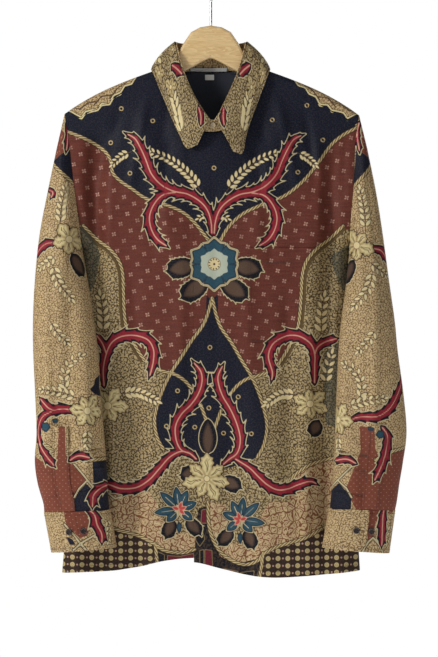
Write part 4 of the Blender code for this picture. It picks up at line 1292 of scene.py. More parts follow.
def put_uv(mesh, name, coordinates):
    """A UV map with one coordinate for each vertex."""
    layer = mesh.uv_layers.new(name=name)
    corners = np.empty(len(mesh.loops), np.int32)
    mesh.loops.foreach_get("vertex_index", corners)
    layer.data.foreach_set("uv", coordinates[corners].astype(np.float32).ravel())


def shell(
    name, points, normals, chart, cloth, wall, replaces, hems=(), tube=False, lining=None, coarse=4, sewn=(),
):
    """A printed outer skin on a grid and a plainer inner skin, joined over the edges that show.

    hems names the edges that are turned in: top, bottom, first, last (columns). chart holds the print's
    coordinates of the outer vertices, in chart units. The inner skin has every coarse-th row and column.
    Returns the cloth and a list of its stitches.
    """
    rows, columns = points.shape[:2]
    outer = points.reshape(-1, 3)
    flip = not faces_outwards(points, normals)
    faces = [grid_faces(rows, columns, 0, tube, flip)]
    all_points, all_chart = [outer], [chart.reshape(-1, 2)]
    slots = [np.zeros(len(faces[0]), int)]
    count = len(outer)
    edges = {
        "top": (points[0], points[1], normals[0], chart[0], True),
        "bottom": (points[-1], points[-2], normals[-1], chart[-1], False),
        "first": (points[:, 0], points[:, 1], normals[:, 0], chart[:, 0], False),
        "last": (points[:, -1], points[:, -2], normals[:, -1], chart[:, -1], True),
    }
    for edge in hems:
        line, neighbour, facing, on_chart, backwards = edges[edge]
        inwards = unit(neighbour - line)
        strip = [
            line,
            line - facing * wall * 0.5 - inwards * 0.25,
            line - facing * wall,
            line - facing * (wall + 0.15) + inwards * 7.0,
        ]
        closed = tube and edge in ("top", "bottom")
        strip_faces = grid_faces(len(strip), len(line), count, closed, flip != backwards)
        strip = np.concatenate(strip)
        faces.append(strip_faces)
        slots.append(np.zeros(len(strip_faces), int))
        all_points.append(strip)
        all_chart.append(np.tile(on_chart, (4, 1)))
        count += len(strip)
    row_at = np.unique([*range(0, rows, coarse), rows - 1])
    column_at = np.unique([*range(0, columns, coarse), *([] if tube else [columns - 1])])
    inner = (points - normals * wall)[np.ix_(row_at, column_at)]
    inner_faces = grid_faces(len(row_at), len(column_at), count, tube, not flip)
    faces.append(inner_faces)
    slots.append(np.ones(len(inner_faces), int))
    all_points.append(inner.reshape(-1, 3))
    all_chart.append(chart[np.ix_(row_at, column_at)].reshape(-1, 2))
    finishes = (batik, lining or wrong_side)
    obj = new_mesh(name, np.concatenate(all_points), np.concatenate(faces), finishes, np.concatenate(slots))
    on_chart = np.concatenate(all_chart)
    put_fields(obj.data, cloth, on_chart)
    put_uv(obj.data, "print", on_chart * CHART_UNIT * PRINT_UV)
    bake = [bake_square(rows, columns, 0.0, 0.7)]
    low = 0.71
    for edge in hems:
        long = columns if edge in ("top", "bottom") else rows
        bake.append(bake_square(4, long, low, low + 0.03))
        low += 0.035
    bake.append(bake_square(len(row_at), len(column_at), low, 1.0))
    put_uv(obj.data, "OFBake", np.concatenate(bake))
    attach(obj, "root")
    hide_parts(*replaces)
    return obj, [stitching(name[:-6] + "_stitches", points, normals, sewn)] if sewn else []


STITCH = (2.0, 0.55, 0.35)  # length, width and height of a stitch, mm
STITCH_PITCH = 3.1


def stitching(name, points, normals, sewn):
    """Rows of stitches on a grid of cloth: sewn gives an edge and how far in from it each row runs."""
    turned = {
        "top": (points, normals), "bottom": (points[::-1], normals[::-1]),
        "first": (points.transpose(1, 0, 2), normals.transpose(1, 0, 2)),
        "last": (points.transpose(1, 0, 2)[::-1], normals.transpose(1, 0, 2)[::-1]),
    }
    corners = np.array([[x, y, z] for x in (-0.5, 0.5) for y in (-0.5, 0.5) for z in (-0.2, 0.8)]) * STITCH
    quads = np.array([[0, 1, 3, 2], [4, 6, 7, 5], [0, 4, 5, 1], [2, 3, 7, 6], [0, 2, 6, 4], [1, 5, 7, 3]])
    blocks = []
    for edge, inset in sewn:
        grid, facing = turned[edge]
        depth = np.cumsum(np.linalg.norm(np.diff(grid, axis=0, prepend=grid[:1]), axis=-1), axis=0)
        line, out = np.empty_like(grid[0]), np.empty_like(grid[0])
        for i in range(grid.shape[1]):
            for k in range(3):
                line[i, k] = np.interp(inset, depth[:, i], grid[:, i, k])
                out[i, k] = np.interp(inset, depth[:, i], facing[:, i, k])
        run = run_along(line)
        at = np.arange(inset + STITCH_PITCH, run[-1] - inset, STITCH_PITCH)
        middle = place_at(at, run, line)
        ahead = unit(place_at(at + 1, run, line) - place_at(at - 1, run, line))
        up = unit(place_at(at, run, out))
        aside = unit(np.cross(up, ahead))
        axes = np.stack([ahead, aside, up], 1)
        blocks.append((middle[:, None] + np.einsum("cj,njk->nck", corners, axes)).reshape(-1, 8, 3))
    stitches = np.concatenate(blocks)
    faces = (quads[None] + 8 * np.arange(len(stitches))[:, None, None]).reshape(-1, 4)
    obj = new_mesh(name, stitches.reshape(-1, 3), faces, (thread,))
    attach(obj, "root")
    return obj


def bake_square(rows, columns, low, high):
    """Unwrapped places of a grid: a strip of the unit square from low to high, clear of its edges."""
    u, v = np.meshgrid(np.linspace(low + 0.004, high - 0.004, columns), np.linspace(0.996, 0.004, rows))
    return np.stack([u, v], -1).reshape(-1, 2)


# --- Printed pieces ---------------------------------------------------------------------------------
STEP = 1.5  # spacing of the printed skins' vertices
# Rough lengths of the panels, mm, that set how many rows and columns a skin has.
FRONT_ACROSS = 238
FRONT_ABOVE = 240
FRONT_BELOW = 486
POCKET_ACROSS = 112
POCKET_FINE = 23  # its rows in each row of the coarse grid
BACK_STEP = 2.0
BACK_ACROSS = 446
BACK_ABOVE = 180
BACK_BELOW = 480


ALL_EDGES = ("bottom", "last", "first", "top")


def count_for(length):
    return int(round(length / STEP)) + 1


def front_points(side, across, rows):
    edge, hem_name = (UNDERLAP_EDGE_X, "under_z") if side == "right" else (OVERLAP_EDGE_X, "upper_z")
    inwards = ARMHOLE_INSET * hand_of(side)
    side_name = side + "_x"
    across = across**0.9
    top_x = mix(trunk(SEAM_SIDE_Z, side_name) + inwards, edge, across)
    top_z = front_top_z(top_x) - GAP / 2
    down = np.linspace(0, 1, rows[0] + 1)[:, None]
    below = np.linspace(0, 1, rows[1] + 1)[1:, None]
    hem_z = hem(hem_name, mix(trunk(HEM_Z, side_name), edge, across))
    z = np.vstack([mix(top_z, UNDERARM_Z, down), mix(UNDERARM_Z, hem_z, below)])
    at_side = np.vstack([mix(top_z[0], UNDERARM_Z, down), mix(UNDERARM_Z, hem_z[0], below)])
    x = mix(trunk(at_side, side_name) + inwards * (at_side > UNDERARM_Z), edge, across[None, :])
    points, normals = sheet(False, x, z)
    points[at_side[:, 0] <= UNDERARM_Z, 0, 1] = -GAP / 2
    if side == "right":
        points[..., 1] += (CLOTH + 2 * LAYER_GAP) * ease(OVERLAP_EDGE_X - 20, OVERLAP_EDGE_X - 4, x)
    return points, normals


# --- Materials --------------------------------------------------------------------------------------
def linear(red, green, blue):
    """Linear colour of an 8-bit display colour."""
    shares = (part / 255 for part in (red, green, blue))
    return tuple((c / 12.92) if c <= 0.04045 else ((c + 0.055) / 1.055) ** 2.4 for c in shares)


INK = {
    "navy": linear(17, 23, 40),
    "dot_blue": linear(54, 62, 82),
    "gold": linear(156, 132, 88),
    "maroon": linear(114, 58, 46),
    "maroon_deep": linear(86, 42, 36),
    "petal": linear(212, 168, 150),
    "tan": linear(206, 182, 138),
    "tan_low": linear(176, 148, 106),
    "curl": linear(116, 88, 58),
    "olive": linear(184, 164, 122),
    "olive_low": linear(140, 121, 84),
    "olive_curl": linear(72, 56, 38),
    "dotted": linear(52, 36, 30),
    "dot_cream": linear(190, 172, 124),
    "blush": linear(206, 182, 142),
    "blush_curl": linear(120, 74, 50),
    "rust": linear(132, 72, 54),
    "wine": linear(104, 28, 44),
    "dark": linear(62, 50, 40),
    "cream_ring": linear(190, 166, 116),
    # colour of the painted shade beside the sleeves
    "painted_side_shade": linear(52, 64, 62),
    "slate": linear(58, 78, 88),
    "bark": linear(96, 76, 46),
    "crimson": linear(140, 33, 48),
    "crimson_edge": linear(78, 14, 36),
    "rose": linear(212, 158, 136),
    "shadow": linear(14, 16, 26),
    "outline": linear(196, 182, 144),
    "cream": linear(216, 201, 150),
    "cream_low": linear(168, 144, 98),
    "brown": linear(88, 68, 56),
    "brown_edge": linear(46, 36, 36),
    "teal": linear(40, 76, 92),
    "teal_edge": linear(24, 40, 58),
    "pale": linear(180, 188, 170),
    "coral": linear(190, 70, 66),
    "straw": linear(222, 204, 156),
    "rope_dark": linear(48, 34, 26),
}


class Nodes:
    """Short calls that add shader nodes and link them."""

    def __init__(self, name):
        self.material = bpy.data.materials.new(name)
        self.material.use_nodes = True
        self.tree = self.material.node_tree
        self.shader = self.tree.nodes["Principled BSDF"]

    def put(self, value, socket):
        if isinstance(value, bpy.types.NodeSocket):
            self.tree.links.new(value, socket)
        elif isinstance(value, tuple) and len(value) == 3 and socket.type == "RGBA":
            socket.default_value = (*value, 1)
        else:
            socket.default_value = value

    def node(self, kind, settings=None, **inputs):
        made = self.tree.nodes.new("ShaderNode" + kind)
        for key, value in (settings or {}).items():
            setattr(made, key, value)
        for key, value in inputs.items():
            self.put(value, made.inputs[key.replace("_", " ")])
        return made

    def math(self, operation, a, b=None, c=None):
        made = self.tree.nodes.new("ShaderNodeMath")
        made.operation = operation
        for socket, value in zip(made.inputs, (a, b, c)):
            if value is not None:
                self.put(value, socket)
        return made.outputs[0]

    def times(self, a, b):
        return self.math("MULTIPLY", a, b)

    def plus(self, a, b):
        return self.math("ADD", a, b)

    def minus(self, a, b):
        return self.math("SUBTRACT", a, b)

    def size_of(self, a):
        return self.math("ABSOLUTE", a)

    def look(self, **inputs):
        """Sets inputs of the shader itself."""
        for key, value in inputs.items():
            self.put(value, self.shader.inputs[key.replace("_", " ")])

    def band(self, value, low, high):
        """1 below low, 0 above high, straight between."""
        inputs = {"Value": value, "From_Min": low, "From_Max": high, "To_Min": 1.0, "To_Max": 0.0}
        return self.node("MapRange", {"clamp": True}, **inputs).outputs[0]

    def over(self, base, top, mask):
        made = self.node("Mix", {"data_type": "RGBA"})
        self.put(mask, made.inputs[0])
        self.put(base, made.inputs[6])
        self.put(top, made.inputs[7])
        return made.outputs[2]

    def split(self, vector):
        return self.node("SeparateXYZ", Vector=vector).outputs

    def attribute(self, name):
        return self.split(self.node("Attribute", {"attribute_name": name}).outputs["Vector"])

    def noise(self, vector, scale, detail=2.0, roughness=0.5, distortion=0.0):
        inputs = {"Vector": vector, "Scale": scale, "Detail": detail, "Roughness": roughness}
        return self.node("TexNoise", {"noise_dimensions": "2D"}, **inputs, Distortion=distortion).outputs[0]

    def stretched(self, vector, x, y, turn=0.0):
        return self.node("Mapping", Vector=vector, Scale=(x, y, 1.0), Rotation=(0, 0, turn)).outputs[0]


EDGE = 0.35  # softness of a printed edge, mm
THREAD_PITCH = 0.62


def staggered(n, x, y, width, height, size, petals=0, lag=0.5):
    """Mask of a small figure on a lattice with every other row moved by lag; petals make it a flower."""
    row = n.math("FLOOR", n.math("DIVIDE", y, height))
    shift = n.times(n.math("FLOORED_MODULO", row, 2.0), width * lag)
    across = n.minus(n.math("FLOORED_MODULO", n.plus(x, shift), width), width / 2)
    down = n.minus(n.math("FLOORED_MODULO", y, height), height / 2)
    away = n.math("SQRT", n.plus(n.times(across, across), n.times(down, down)))
    if not petals:
        return n.band(away, size - EDGE, size + EDGE), away
    angle = n.plus(n.math("ARCTAN2", down, across), math.pi / 4)
    lobe = n.size_of(n.math("COSINE", n.times(angle, petals / 2)))
    reach = n.times(n.math("POWER", lobe, 0.7), size)
    return n.band(n.minus(away, reach), -EDGE, EDGE), away


def curls(n, vector, scale, width, kept, ring):
    """Short curling strokes: broken edges between soft cells, and broken rings inside them."""
    flat = {"noise_dimensions": "2D"}
    drift = n.node("TexNoise", flat, Vector=vector, Scale=scale * 0.8, Detail=1.0).outputs[1]
    pushed = n.node("VectorMath", {"operation": "MULTIPLY_ADD"})
    n.put(drift, pushed.inputs[0])
    pushed.inputs[1].default_value = (1.1 / scale, 1.1 / scale, 0.0)
    n.put(vector, pushed.inputs[2])
    cells = n.node("TexVoronoi", {"voronoi_dimensions": "2D", "feature": "DISTANCE_TO_EDGE"}, Scale=scale)
    n.put(pushed.outputs[0], cells.inputs["Vector"])
    stroke = n.band(cells.outputs["Distance"], width * 0.55, width * 1.45)
    gap = n.noise(vector, scale * 1.7, 1.0)
    strokes = n.times(stroke, n.band(gap, kept, kept + 0.07))
    if ring:
        off = n.size_of(n.minus(cells.outputs["Distance"], ring))
        inner = n.times(n.band(off, width * 0.3, width * 0.75), n.band(gap, 0.5, 0.42))
        strokes = n.math("MAXIMUM", strokes, inner)
    return strokes, cells.outputs["Distance"]


def curled(n, uv, colour, low, line, scale, width, kept, cloudy, ring=0.0):
    """A light ground covered in dark curling strokes, lighter in the middle of each cell."""
    strokes, middle = curls(n, uv, scale, width, kept, ring)
    ground = n.over(n.over(colour, low, cloudy), colour, n.times(middle, 1.6))
    return n.over(ground, line, strokes)


def weave_bump(n, uv, strength=0.35, distance=0.00022):
    """Plain weave with a few thicker threads."""
    cells = n.split(uv)
    pace = 2 * math.pi * (1 / PRINT_UV) / THREAD_PITCH
    warp, weft = (n.math("SINE", n.times(cells[i], pace)) for i in (0, 1))
    threads = n.times(warp, weft)
    slub = n.noise(n.stretched(uv, 9.0, 160.0), 1.0, 2.0)
    slub2 = n.noise(n.stretched(uv, 190.0, 8.0), 1.0, 2.0)
    height = n.plus(n.times(threads, 0.25), n.plus(slub, slub2))
    bump = n.node("Bump", Height=height, Strength=strength, Distance=distance)
    return bump.outputs[0], slub


def make_batik():
    n = Nodes("batik_print")
    uv = n.node("UVMap", {"uv_map": "print"}).outputs[0]
    place = n.split(uv)
    x, y = n.times(place[0], 1 / PRINT_UV), n.times(place[1], 1 / PRINT_UV)
    fields = {}
    for attribute, names in PRINT_FIELDS.items():
        for name, socket in zip(names, n.attribute(attribute)):
            fields[name] = socket

    def within(name, grow=0.0):
        return n.band(fields[name], grow - EDGE, grow + EDGE)

    def along_edge(name, at, half):
        off = n.size_of(n.minus(fields[name], at))
        return n.band(off, half - EDGE * 0.6, half + EDGE * 0.6)

    def shaded(below, name, ink, edge_ink, depth, grow=0.0):
        """A figure whose ink turns into another one at its edge, over as many mm as depth says."""
        inner = n.band(n.times(fields[name], -1.0), 0.2, depth)
        return n.over(below, n.over(INK[ink], INK[edge_ink], inner), within(name, grow))

    # Grounds, each with its filling.
    cloudy = n.noise(uv, 9.0, 3.0, 0.6)
    tan = curled(n, uv, INK["tan"], INK["tan_low"], INK["curl"], 25.0, 0.14, 0.56, cloudy)
    olive = curled(n, uv, INK["olive"], INK["olive_low"], INK["olive_curl"], 21.0, 0.17, 0.55, cloudy)
    colour = n.over(tan, olive, within("olive"))
    blush = curled(n, uv, INK["blush"], INK["tan_low"], INK["blush_curl"], 11.0, 0.1, 0.62, cloudy, 0.33)
    colour = n.over(colour, blush, within("blush"))
    maroon = n.over(INK["maroon"], INK["maroon_deep"], n.noise(n.stretched(uv, 3.0, 34.0), 1.0, 3.0))
    # The flowers' rows lean the same way on both sides of the shirt's middle.
    middle = n.minus(MIRROR_X * CHART_UNIT, n.times(y, MIRROR_SLANT))
    aside = n.size_of(n.minus(x, middle))
    leaning = math.radians(12)
    row_x = n.plus(n.times(aside, math.cos(leaning)), n.times(y, math.sin(leaning)))
    row_y = n.minus(n.times(y, math.cos(leaning)), n.times(aside, math.sin(leaning)))
    flower, away = staggered(n, row_x, row_y, 25.6, 12.8, 3.7, 4)
    flower = n.times(flower, n.band(n.times(away, -1.0), -1.5, -0.9))
    flower = n.math("MAXIMUM", flower, n.band(away, 0.3, 0.8))
    maroon = n.over(maroon, INK["petal"], n.times(flower, n.node("MapRange", Value=cloudy).outputs[0]))
    colour = n.over(colour, maroon, within("maroon"))
    rust = n.over(INK["rust"], INK["maroon"], n.noise(n.stretched(uv, 20.0, 60.0), 1.0, 3.0, 0.7))
    specks, _ = staggered(n, x, y, 9.0, 4.6, 0.7)
    rust = n.over(rust, INK["petal"], n.times(specks, 0.45))
    colour = n.over(colour, rust, within("rust"))
    points, _ = staggered(n, x, y, 12.0, 6.0, 0.5)
    navy = n.over(INK["navy"], INK["dot_blue"], n.times(points, 0.45))
    colour = n.over(colour, navy, within("navy"))
    dark = curled(n, uv, INK["dark"], INK["brown_edge"], INK["shadow"], 14.0, 0.2, 0.6, cloudy)
    colour = n.over(colour, dark, within("dark"))
    colour = n.over(colour, INK["bark"], within("bark"))
    # Painted shade: dark grey-green laid at 0.62 over the print beside the sleeves.
    colour = n.over(colour, INK["painted_side_shade"], n.times(within("painted_side_shade"), 0.62))
    colour = n.over(colour, INK["slate"], within("slate"))
    colour = n.over(colour, INK["wine"], within("wine"))
    colour = n.over(colour, INK["shadow"], within("ink"))
    patch = n.math("MINIMUM", fields["wine"], fields["ink"])
    patch_edge = n.band(n.size_of(patch), 0.35, 0.75)
    colour = n.over(colour, INK["olive_low"], n.times(patch_edge, 0.8))
    studs, away = staggered(n, x, y, 14.6, 10.9, 3.6, lag=0.0)
    centre_dot = n.band(n.size_of(n.minus(away, 1.5)), 0.25, 0.6)
    studs_colour = n.over(INK["dot_cream"], INK["gold"], n.times(centre_dot, 0.7))
    dotted = n.over(INK["dotted"], studs_colour, studs)
    pips, _ = staggered(n, n.plus(x, 7.3), y, 14.6, 10.9, 1.4, lag=0.0)
    dotted = n.over(dotted, INK["petal"], n.times(pips, 0.7))
    colour = n.over(colour, dotted, within("dotted"))
    colour = n.over(colour, tan, within("band"))
    colour = n.over(colour, INK["brown_edge"], n.times(along_edge("band", -1.7, 0.5), 0.8))
    colour = n.over(colour, INK["cream"], along_edge("band", -0.3, 1.0))
    colour = n.over(colour, INK["olive_curl"], n.times(n.band(fields["stem"], 0.6, 1.2), within("band")))

    # Twisted ropes with dark edges.
    away = fields["rope"]
    colour = n.over(colour, INK["rope_dark"], n.band(away, 2.9, 3.4))
    twist = n.math("SINE", n.times(fields["rope_twist"], 2 * math.pi / 7.5))
    lit = n.times(n.band(n.times(twist, -1.0), -0.9, 0.0), 0.8)
    strand = n.over(INK["gold"], INK["straw"], lit)
    strand = n.over(strand, INK["rope_dark"], n.times(n.band(twist, -1.0, -0.55), 0.75))
    colour = n.over(colour, strand, n.band(away, 1.9, 2.5))

    # Sprigs, thin pale lines, rings and beads.
    colour = n.over(colour, INK["rope_dark"], n.band(fields["twig"], 2.0, 2.5))
    colour = n.over(colour, INK["outline"], n.band(fields["twig"], 1.0, 1.5))
    colour = n.over(colour, INK["brown_edge"], within("leaflet", 0.75))
    colour = n.over(colour, INK["brown"], n.band(fields["stem"], 0.4, 0.9))
    colour = n.over(colour, INK["straw"], within("leaflet", 0.0))
    colour = n.over(colour, INK["cream_ring"], n.band(fields["ring"], 0.55, 1.05))
    colour = n.over(colour, INK["gold"], within("bead"))

    # The leaves and buds lie in a dark ground with a pale toothed line round it.
    colour = n.over(colour, INK["shadow"], within("halo"))
    colour = shaded(colour, "brown", "brown", "brown_edge", 3.6)
    colour = shaded(colour, "sheath", "brown", "brown_edge", 4.0)
    colour = shaded(colour, "crimson", "crimson", "crimson_edge", 1.3)
    rib = n.times(n.band(fields["midrib"], 0.6, 1.3), within("crimson", -0.5))
    colour = n.over(colour, INK["rose"], rib)
    colour = n.over(colour, INK["outline"], along_edge("halo", 0.0, 0.62))

    # Flowers on top.
    colour = n.over(colour, INK["brown_edge"], within("rim", 0.9))
    rim_line = n.band(n.size_of(n.plus(fields["rim"], 1.4)), 0.2, 0.6)
    colour = n.over(colour, n.over(INK["outline"], INK["cream_low"], rim_line), within("rim"))
    colour = shaded(colour, "teal", "teal", "teal_edge", 2.6)
    colour = n.over(colour, INK["pale"], within("pale"))
    colour = n.over(colour, INK["outline"], n.times(n.band(fields["twig"], 0.4, 0.8), within("teal")))
    colour = shaded(colour, "coral", "coral", "rose", 1.2, 0.3)
    colour = n.over(colour, INK["brown_edge"], within("cream", 1.0))
    colour = shaded(colour, "cream", "cream", "cream_low", 3.0)
    veined = n.times(n.band(fields["vein"], 0.4, 0.95), within("cream", -0.3))
    colour = n.over(colour, INK["curl"], n.times(veined, 0.9))
    colour = n.over(colour, INK["brown"], within("heart", 0.7))
    colour = n.over(colour, INK["straw"], within("heart"))
    colour = n.over(colour, INK["brown_edge"], within("seed"))

    # Dye takes a little unevenly, and the cotton is nearly matt.
    uneven = n.noise(uv, 46.0, 2.0, 0.6)
    worn = n.times(n.minus(uneven, 0.42), 0.5)
    colour = n.over(colour, linear(150, 132, 118), n.math("MAXIMUM", n.times(worn, 0.5), 0.0))
    bump, slub = weave_bump(n, uv)
    rough = n.node("MapRange", Value=slub, To_Min=0.46, To_Max=0.64).outputs[0]
    n.look(Base_Color=colour, Normal=bump, Roughness=rough)
    n.look(Specular_IOR_Level=0.14, Sheen_Weight=0.02, Sheen_Roughness=0.4)
    return n.material


def make_plain_cloth(name, colour, other, scale=3.0):
    """The wrong side of the print, or a plain ground: an even dye with a little mottling and the weave."""
    n = Nodes(name)
    uv = n.node("UVMap", {"uv_map": "print"}).outputs[0]
    mottled = n.over(colour, other, n.noise(uv, scale, 3.0, 0.65))
    n.look(Base_Color=mottled, Normal=weave_bump(n, uv)[0], Roughness=0.75, Sheen_Weight=0.1)
    return n.material


def make_tape(name, colour, other, thread_mm):
    """Woven tape or label, by its place in the part."""
    n = Nodes(name)
    place = n.node("TexCoord").outputs["Object"]
    axes = n.split(place)
    threads = n.math("SINE", n.times(axes[0], 2 * math.pi / (thread_mm * MM)))
    rows = n.math("SINE", n.times(axes[2], 2 * math.pi / (thread_mm * MM)))
    weave = n.times(threads, rows)
    n.look(Base_Color=n.over(colour, other, n.band(weave, -0.4, 0.6)))
    n.look(Normal=n.node("Bump", Height=weave, Strength=0.4, Distance=0.0002).outputs[0])
    n.look(Roughness=0.7)
    return n.material


def make_button_finish(name, colour, other):
    n = Nodes(name)
    place = n.node("TexCoord").outputs["Object"]
    swirl = n.node("TexNoise", Vector=place, Scale=260.0, Detail=3.0, Distortion=2.0).outputs[0]
    n.look(Base_Color=n.over(colour, other, swirl))
    n.look(Roughness=0.24, Coat_Weight=0.4)
    return n.material


def make_wood():
    """Pale varnished wood, its grain along the arms, with fine pores."""
    n = Nodes("hanger_wood")
    place = n.node("TexCoord").outputs["Object"]
    lined = n.node("Mapping", Vector=place, Scale=(9.0, 60.0, 60.0)).outputs[0]
    drift = n.node("TexNoise", Vector=lined, Scale=1.0, Detail=4.0, Roughness=0.6, Distortion=0.6).outputs[0]
    rings = n.math("FRACT", n.times(drift, 7.0))
    colour = n.over(linear(232, 202, 148), linear(205, 165, 106), n.times(rings, 0.6))
    pores = n.node("Mapping", Vector=place, Scale=(60.0, 1400.0, 1400.0)).outputs[0]
    pore = n.node("TexNoise", Vector=pores, Scale=1.0, Detail=2.0).outputs[0]
    colour = n.over(colour, linear(160, 116, 66), n.times(n.band(pore, 0.33, 0.42), 0.35))
    n.look(Base_Color=colour)
    n.look(Normal=n.node("Bump", Height=pore, Strength=0.15, Distance=0.0002).outputs[0])
    n.look(Roughness=0.38, Coat_Weight=0.3)
    return n.material


def make_steel():
    n = Nodes("hook_steel")
    place = n.node("TexCoord").outputs["Object"]
    smear = n.node("TexNoise", Vector=place, Scale=180.0, Detail=3.0).outputs[0]
    n.look(Base_Color=n.over(linear(188, 188, 190), linear(150, 150, 154), smear))
    n.look(Metallic=1.0, Roughness=0.22)
    return n.material


def make_thread(name, colour):
    n = Nodes(name)
    place = n.node("TexCoord").outputs["Object"]
    twist = n.node("TexNoise", Vector=place, Scale=2400.0, Detail=1.0).outputs[0]
    n.look(Base_Color=n.over(colour, tuple(c * 0.55 for c in colour), twist))
    n.look(Roughness=0.6)
    return n.material


# Rows of stitches: the edge, and how far in from it they run, mm.
HEM_SEWN = (("bottom", 9.0),)
POCKET_SEWN = (("bottom", 2.0), ("first", 2.0), ("last", 2.0), ("top", 22.0))
PLACKET_SEWN = (("first", 2.0), ("last", 2.0), ("top", 2.0))
ALL_ROUND = (("top", 5.0), ("bottom", 5.0), ("first", 5.0), ("last", 5.0))


def make_fronts(cloth):
    for side in ("right", "left"):
        across = np.linspace(0, 1, count_for(FRONT_ACROSS))
        points, normals = front_points(side, across, (count_for(FRONT_ABOVE), count_for(FRONT_BELOW)))
        chart = to_chart(points[..., 0], points[..., 2])
        obj, stitches = shell(
            "front_" + side + "_cloth", points, normals, chart, cloth, CLOTH, ["front_" + side],
            hems=ALL_EDGES, sewn=HEM_SEWN,
        )


def make_pocket(cloth):
    rows = (COARSE_ROWS[0], COARSE_ROWS[1] * POCKET_FINE)
    first, last = POCKET_COLUMNS[0] / (COARSE_COLUMNS - 1), POCKET_COLUMNS[1] / (COARSE_COLUMNS - 1)
    points, normals = front_points("left", np.linspace(first, last, count_for(POCKET_ACROSS)), rows)
    kept = slice(POCKET_ROWS[0], POCKET_ROWS[0] + (POCKET_ROWS[1] - POCKET_ROWS[0]) * POCKET_FINE + 1)
    points, normals = points[kept], normals[kept]
    chart = to_chart(points[..., 0], points[..., 2])
    raised = points + normals * (LAYER_GAP + CLOTH)
    obj, stitches = shell(
        "chest_pocket_cloth", raised, normals, chart, cloth, 0.9, ["chest_pocket"], hems=ALL_EDGES,
        sewn=POCKET_SEWN,
    )


def make_back(cloth):
    across = np.linspace(0, 1, int(BACK_ACROSS / BACK_STEP))
    top_z = YOKE_BACK_Z - GAP / 2
    hem_x = mix(trunk(HEM_Z, "right_x"), trunk(HEM_Z, "left_x"), across)
    down = np.linspace(0, 1, int(BACK_ABOVE / BACK_STEP))[:, None]
    below = np.linspace(0, 1, int(BACK_BELOW / BACK_STEP))[1:, None]
    hem_z = hem("back_z", hem_x)
    z = np.vstack([mix(np.full(len(across), top_z), UNDERARM_Z, down), mix(UNDERARM_Z, hem_z, below)])
    at_side = np.vstack([mix(top_z, UNDERARM_Z, down), mix(UNDERARM_Z, hem_z[0], below)])
    inset = ARMHOLE_INSET * (at_side > UNDERARM_Z)
    x = mix(trunk(at_side, "right_x") + inset, trunk(at_side, "left_x") - inset, across[None, :])
    points, normals = sheet(True, x, z)
    points[at_side[:, 0] <= UNDERARM_Z, 0, 1] = GAP / 2
    points[at_side[:, 0] <= UNDERARM_Z, -1, 1] = GAP / 2
    chart = to_chart(points[..., 0], points[..., 2])
    obj, stitches = shell(
        "back_cloth", points, normals, chart, cloth, CLOTH, ["back"], hems=ALL_EDGES, lining=navy_lining,
        sewn=HEM_SEWN,
    )


def make_yoke(cloth):
    arm = np.linspace(0, 1, 76)
    right, left = trunk(ARMHOLE_TOP_Z, "right_x"), trunk(ARMHOLE_TOP_Z, "left_x")
    neck = np.linspace(-74.5, 74.5, 77)
    columns = np.concatenate([mix(right, -NECK_HALF - 1, arm), neck, mix(NECK_HALF + 1, left, arm)])
    start = -path_to(columns, np.full(len(columns), YOKE_BACK_Z + GAP / 2))
    to_front = path_to(columns, front_top_z(columns) + GAP / 2)
    to_neck = -path_to(columns, back_neck_z(columns))
    end = np.where(np.abs(columns) > NECK_HALF, to_front, to_neck)
    bend = RIDGE_RADIUS * math.pi / 2
    to_bend = mix(start, -bend, np.linspace(0, 1, 30)[:-1, None])
    bent = np.broadcast_to(np.linspace(-bend, bend, 15)[:-1, None], (14, len(columns)))
    over = np.vstack([to_bend, bent, mix(bend * 6 / 7, end, np.linspace(0, 1, 15)[1:, None])])
    round_neck = np.vstack([to_bend, mix(-bend, end, np.linspace(0, 1, 28)[:, None])])
    behind_neck = mix(start, end, np.linspace(0, 1, 57)[:, None])
    path = np.where(np.abs(columns) > NECK_HALF, over, np.where(end > -bend, round_neck, behind_neck))
    x = np.broadcast_to(columns, path.shape).copy()
    for index, name, inset in ((0, "right_x", ARMHOLE_INSET), (-1, "left_x", -ARMHOLE_INSET)):
        for _ in range(3):
            x[:, index] = trunk(over_shoulder(x, path)[:, index, 2], name) + inset
    points, normals = shoulder_sheet(x, path)
    chart = to_chart(x, ridge_z(x) - np.abs(path) * 0.9)
    obj, stitches = shell(
        "yoke_cloth", points, normals, chart, cloth, CLOTH, ["yoke"], hems=ALL_EDGES, lining=navy_lining,
        coarse=2, sewn=(("top", 2.0),),
    )


# --- Sleeves ----------------------------------------------------------------------------------------
SLEEVE_DEPTH_SHARE = 0.65  # depth of a sleeve's oval over its width
SLEEVE_CREASES = (
    # as the trunk's creases, on the wearer's right sleeve in front view; mirrored on the left one
    (-226, -262, -252, -470, 7, -3.0),
    (-206, -300, -226, -520, 9, 3.0),
    (-244, -420, -240, -690, 8, 3.2),
    (-204, -480, -214, -700, 10, -3.6),
    (-186, -560, -182, -780, 7, 2.8),
    (-230, -600, -222, -800, 9, -3.2),
    (-262, -640, -150, -668, 9, 2.2),
    (-258, -742, -150, -724, 10, -2.7),
    (-262, -765, -160, -755, 9, 2.4),
    (-250, -802, -156, -782, 9, -2.4),
    (-200, -700, -160, -760, 8, 2.8),
)


# Above its seam a sleeve's chart goes on along the trunk's sides, through these heights.
ABOVE_SLEEVE_Z = {"outer": (-214.0,), "inner": (-214.0, -330.0)}


def ellipse_arc():
    """Position across a flattened oval, -1 to 1, and the arc from its middle in half widths."""
    turn = np.linspace(0, math.pi, 181)
    pace = np.sqrt(np.sin(turn) ** 2 + (SLEEVE_DEPTH_SHARE * np.cos(turn)) ** 2)
    arc = np.concatenate([[0], np.cumsum((pace[1:] + pace[:-1]) / 2) * (turn[1] - turn[0])])
    return -np.cos(turn), arc - arc[90]


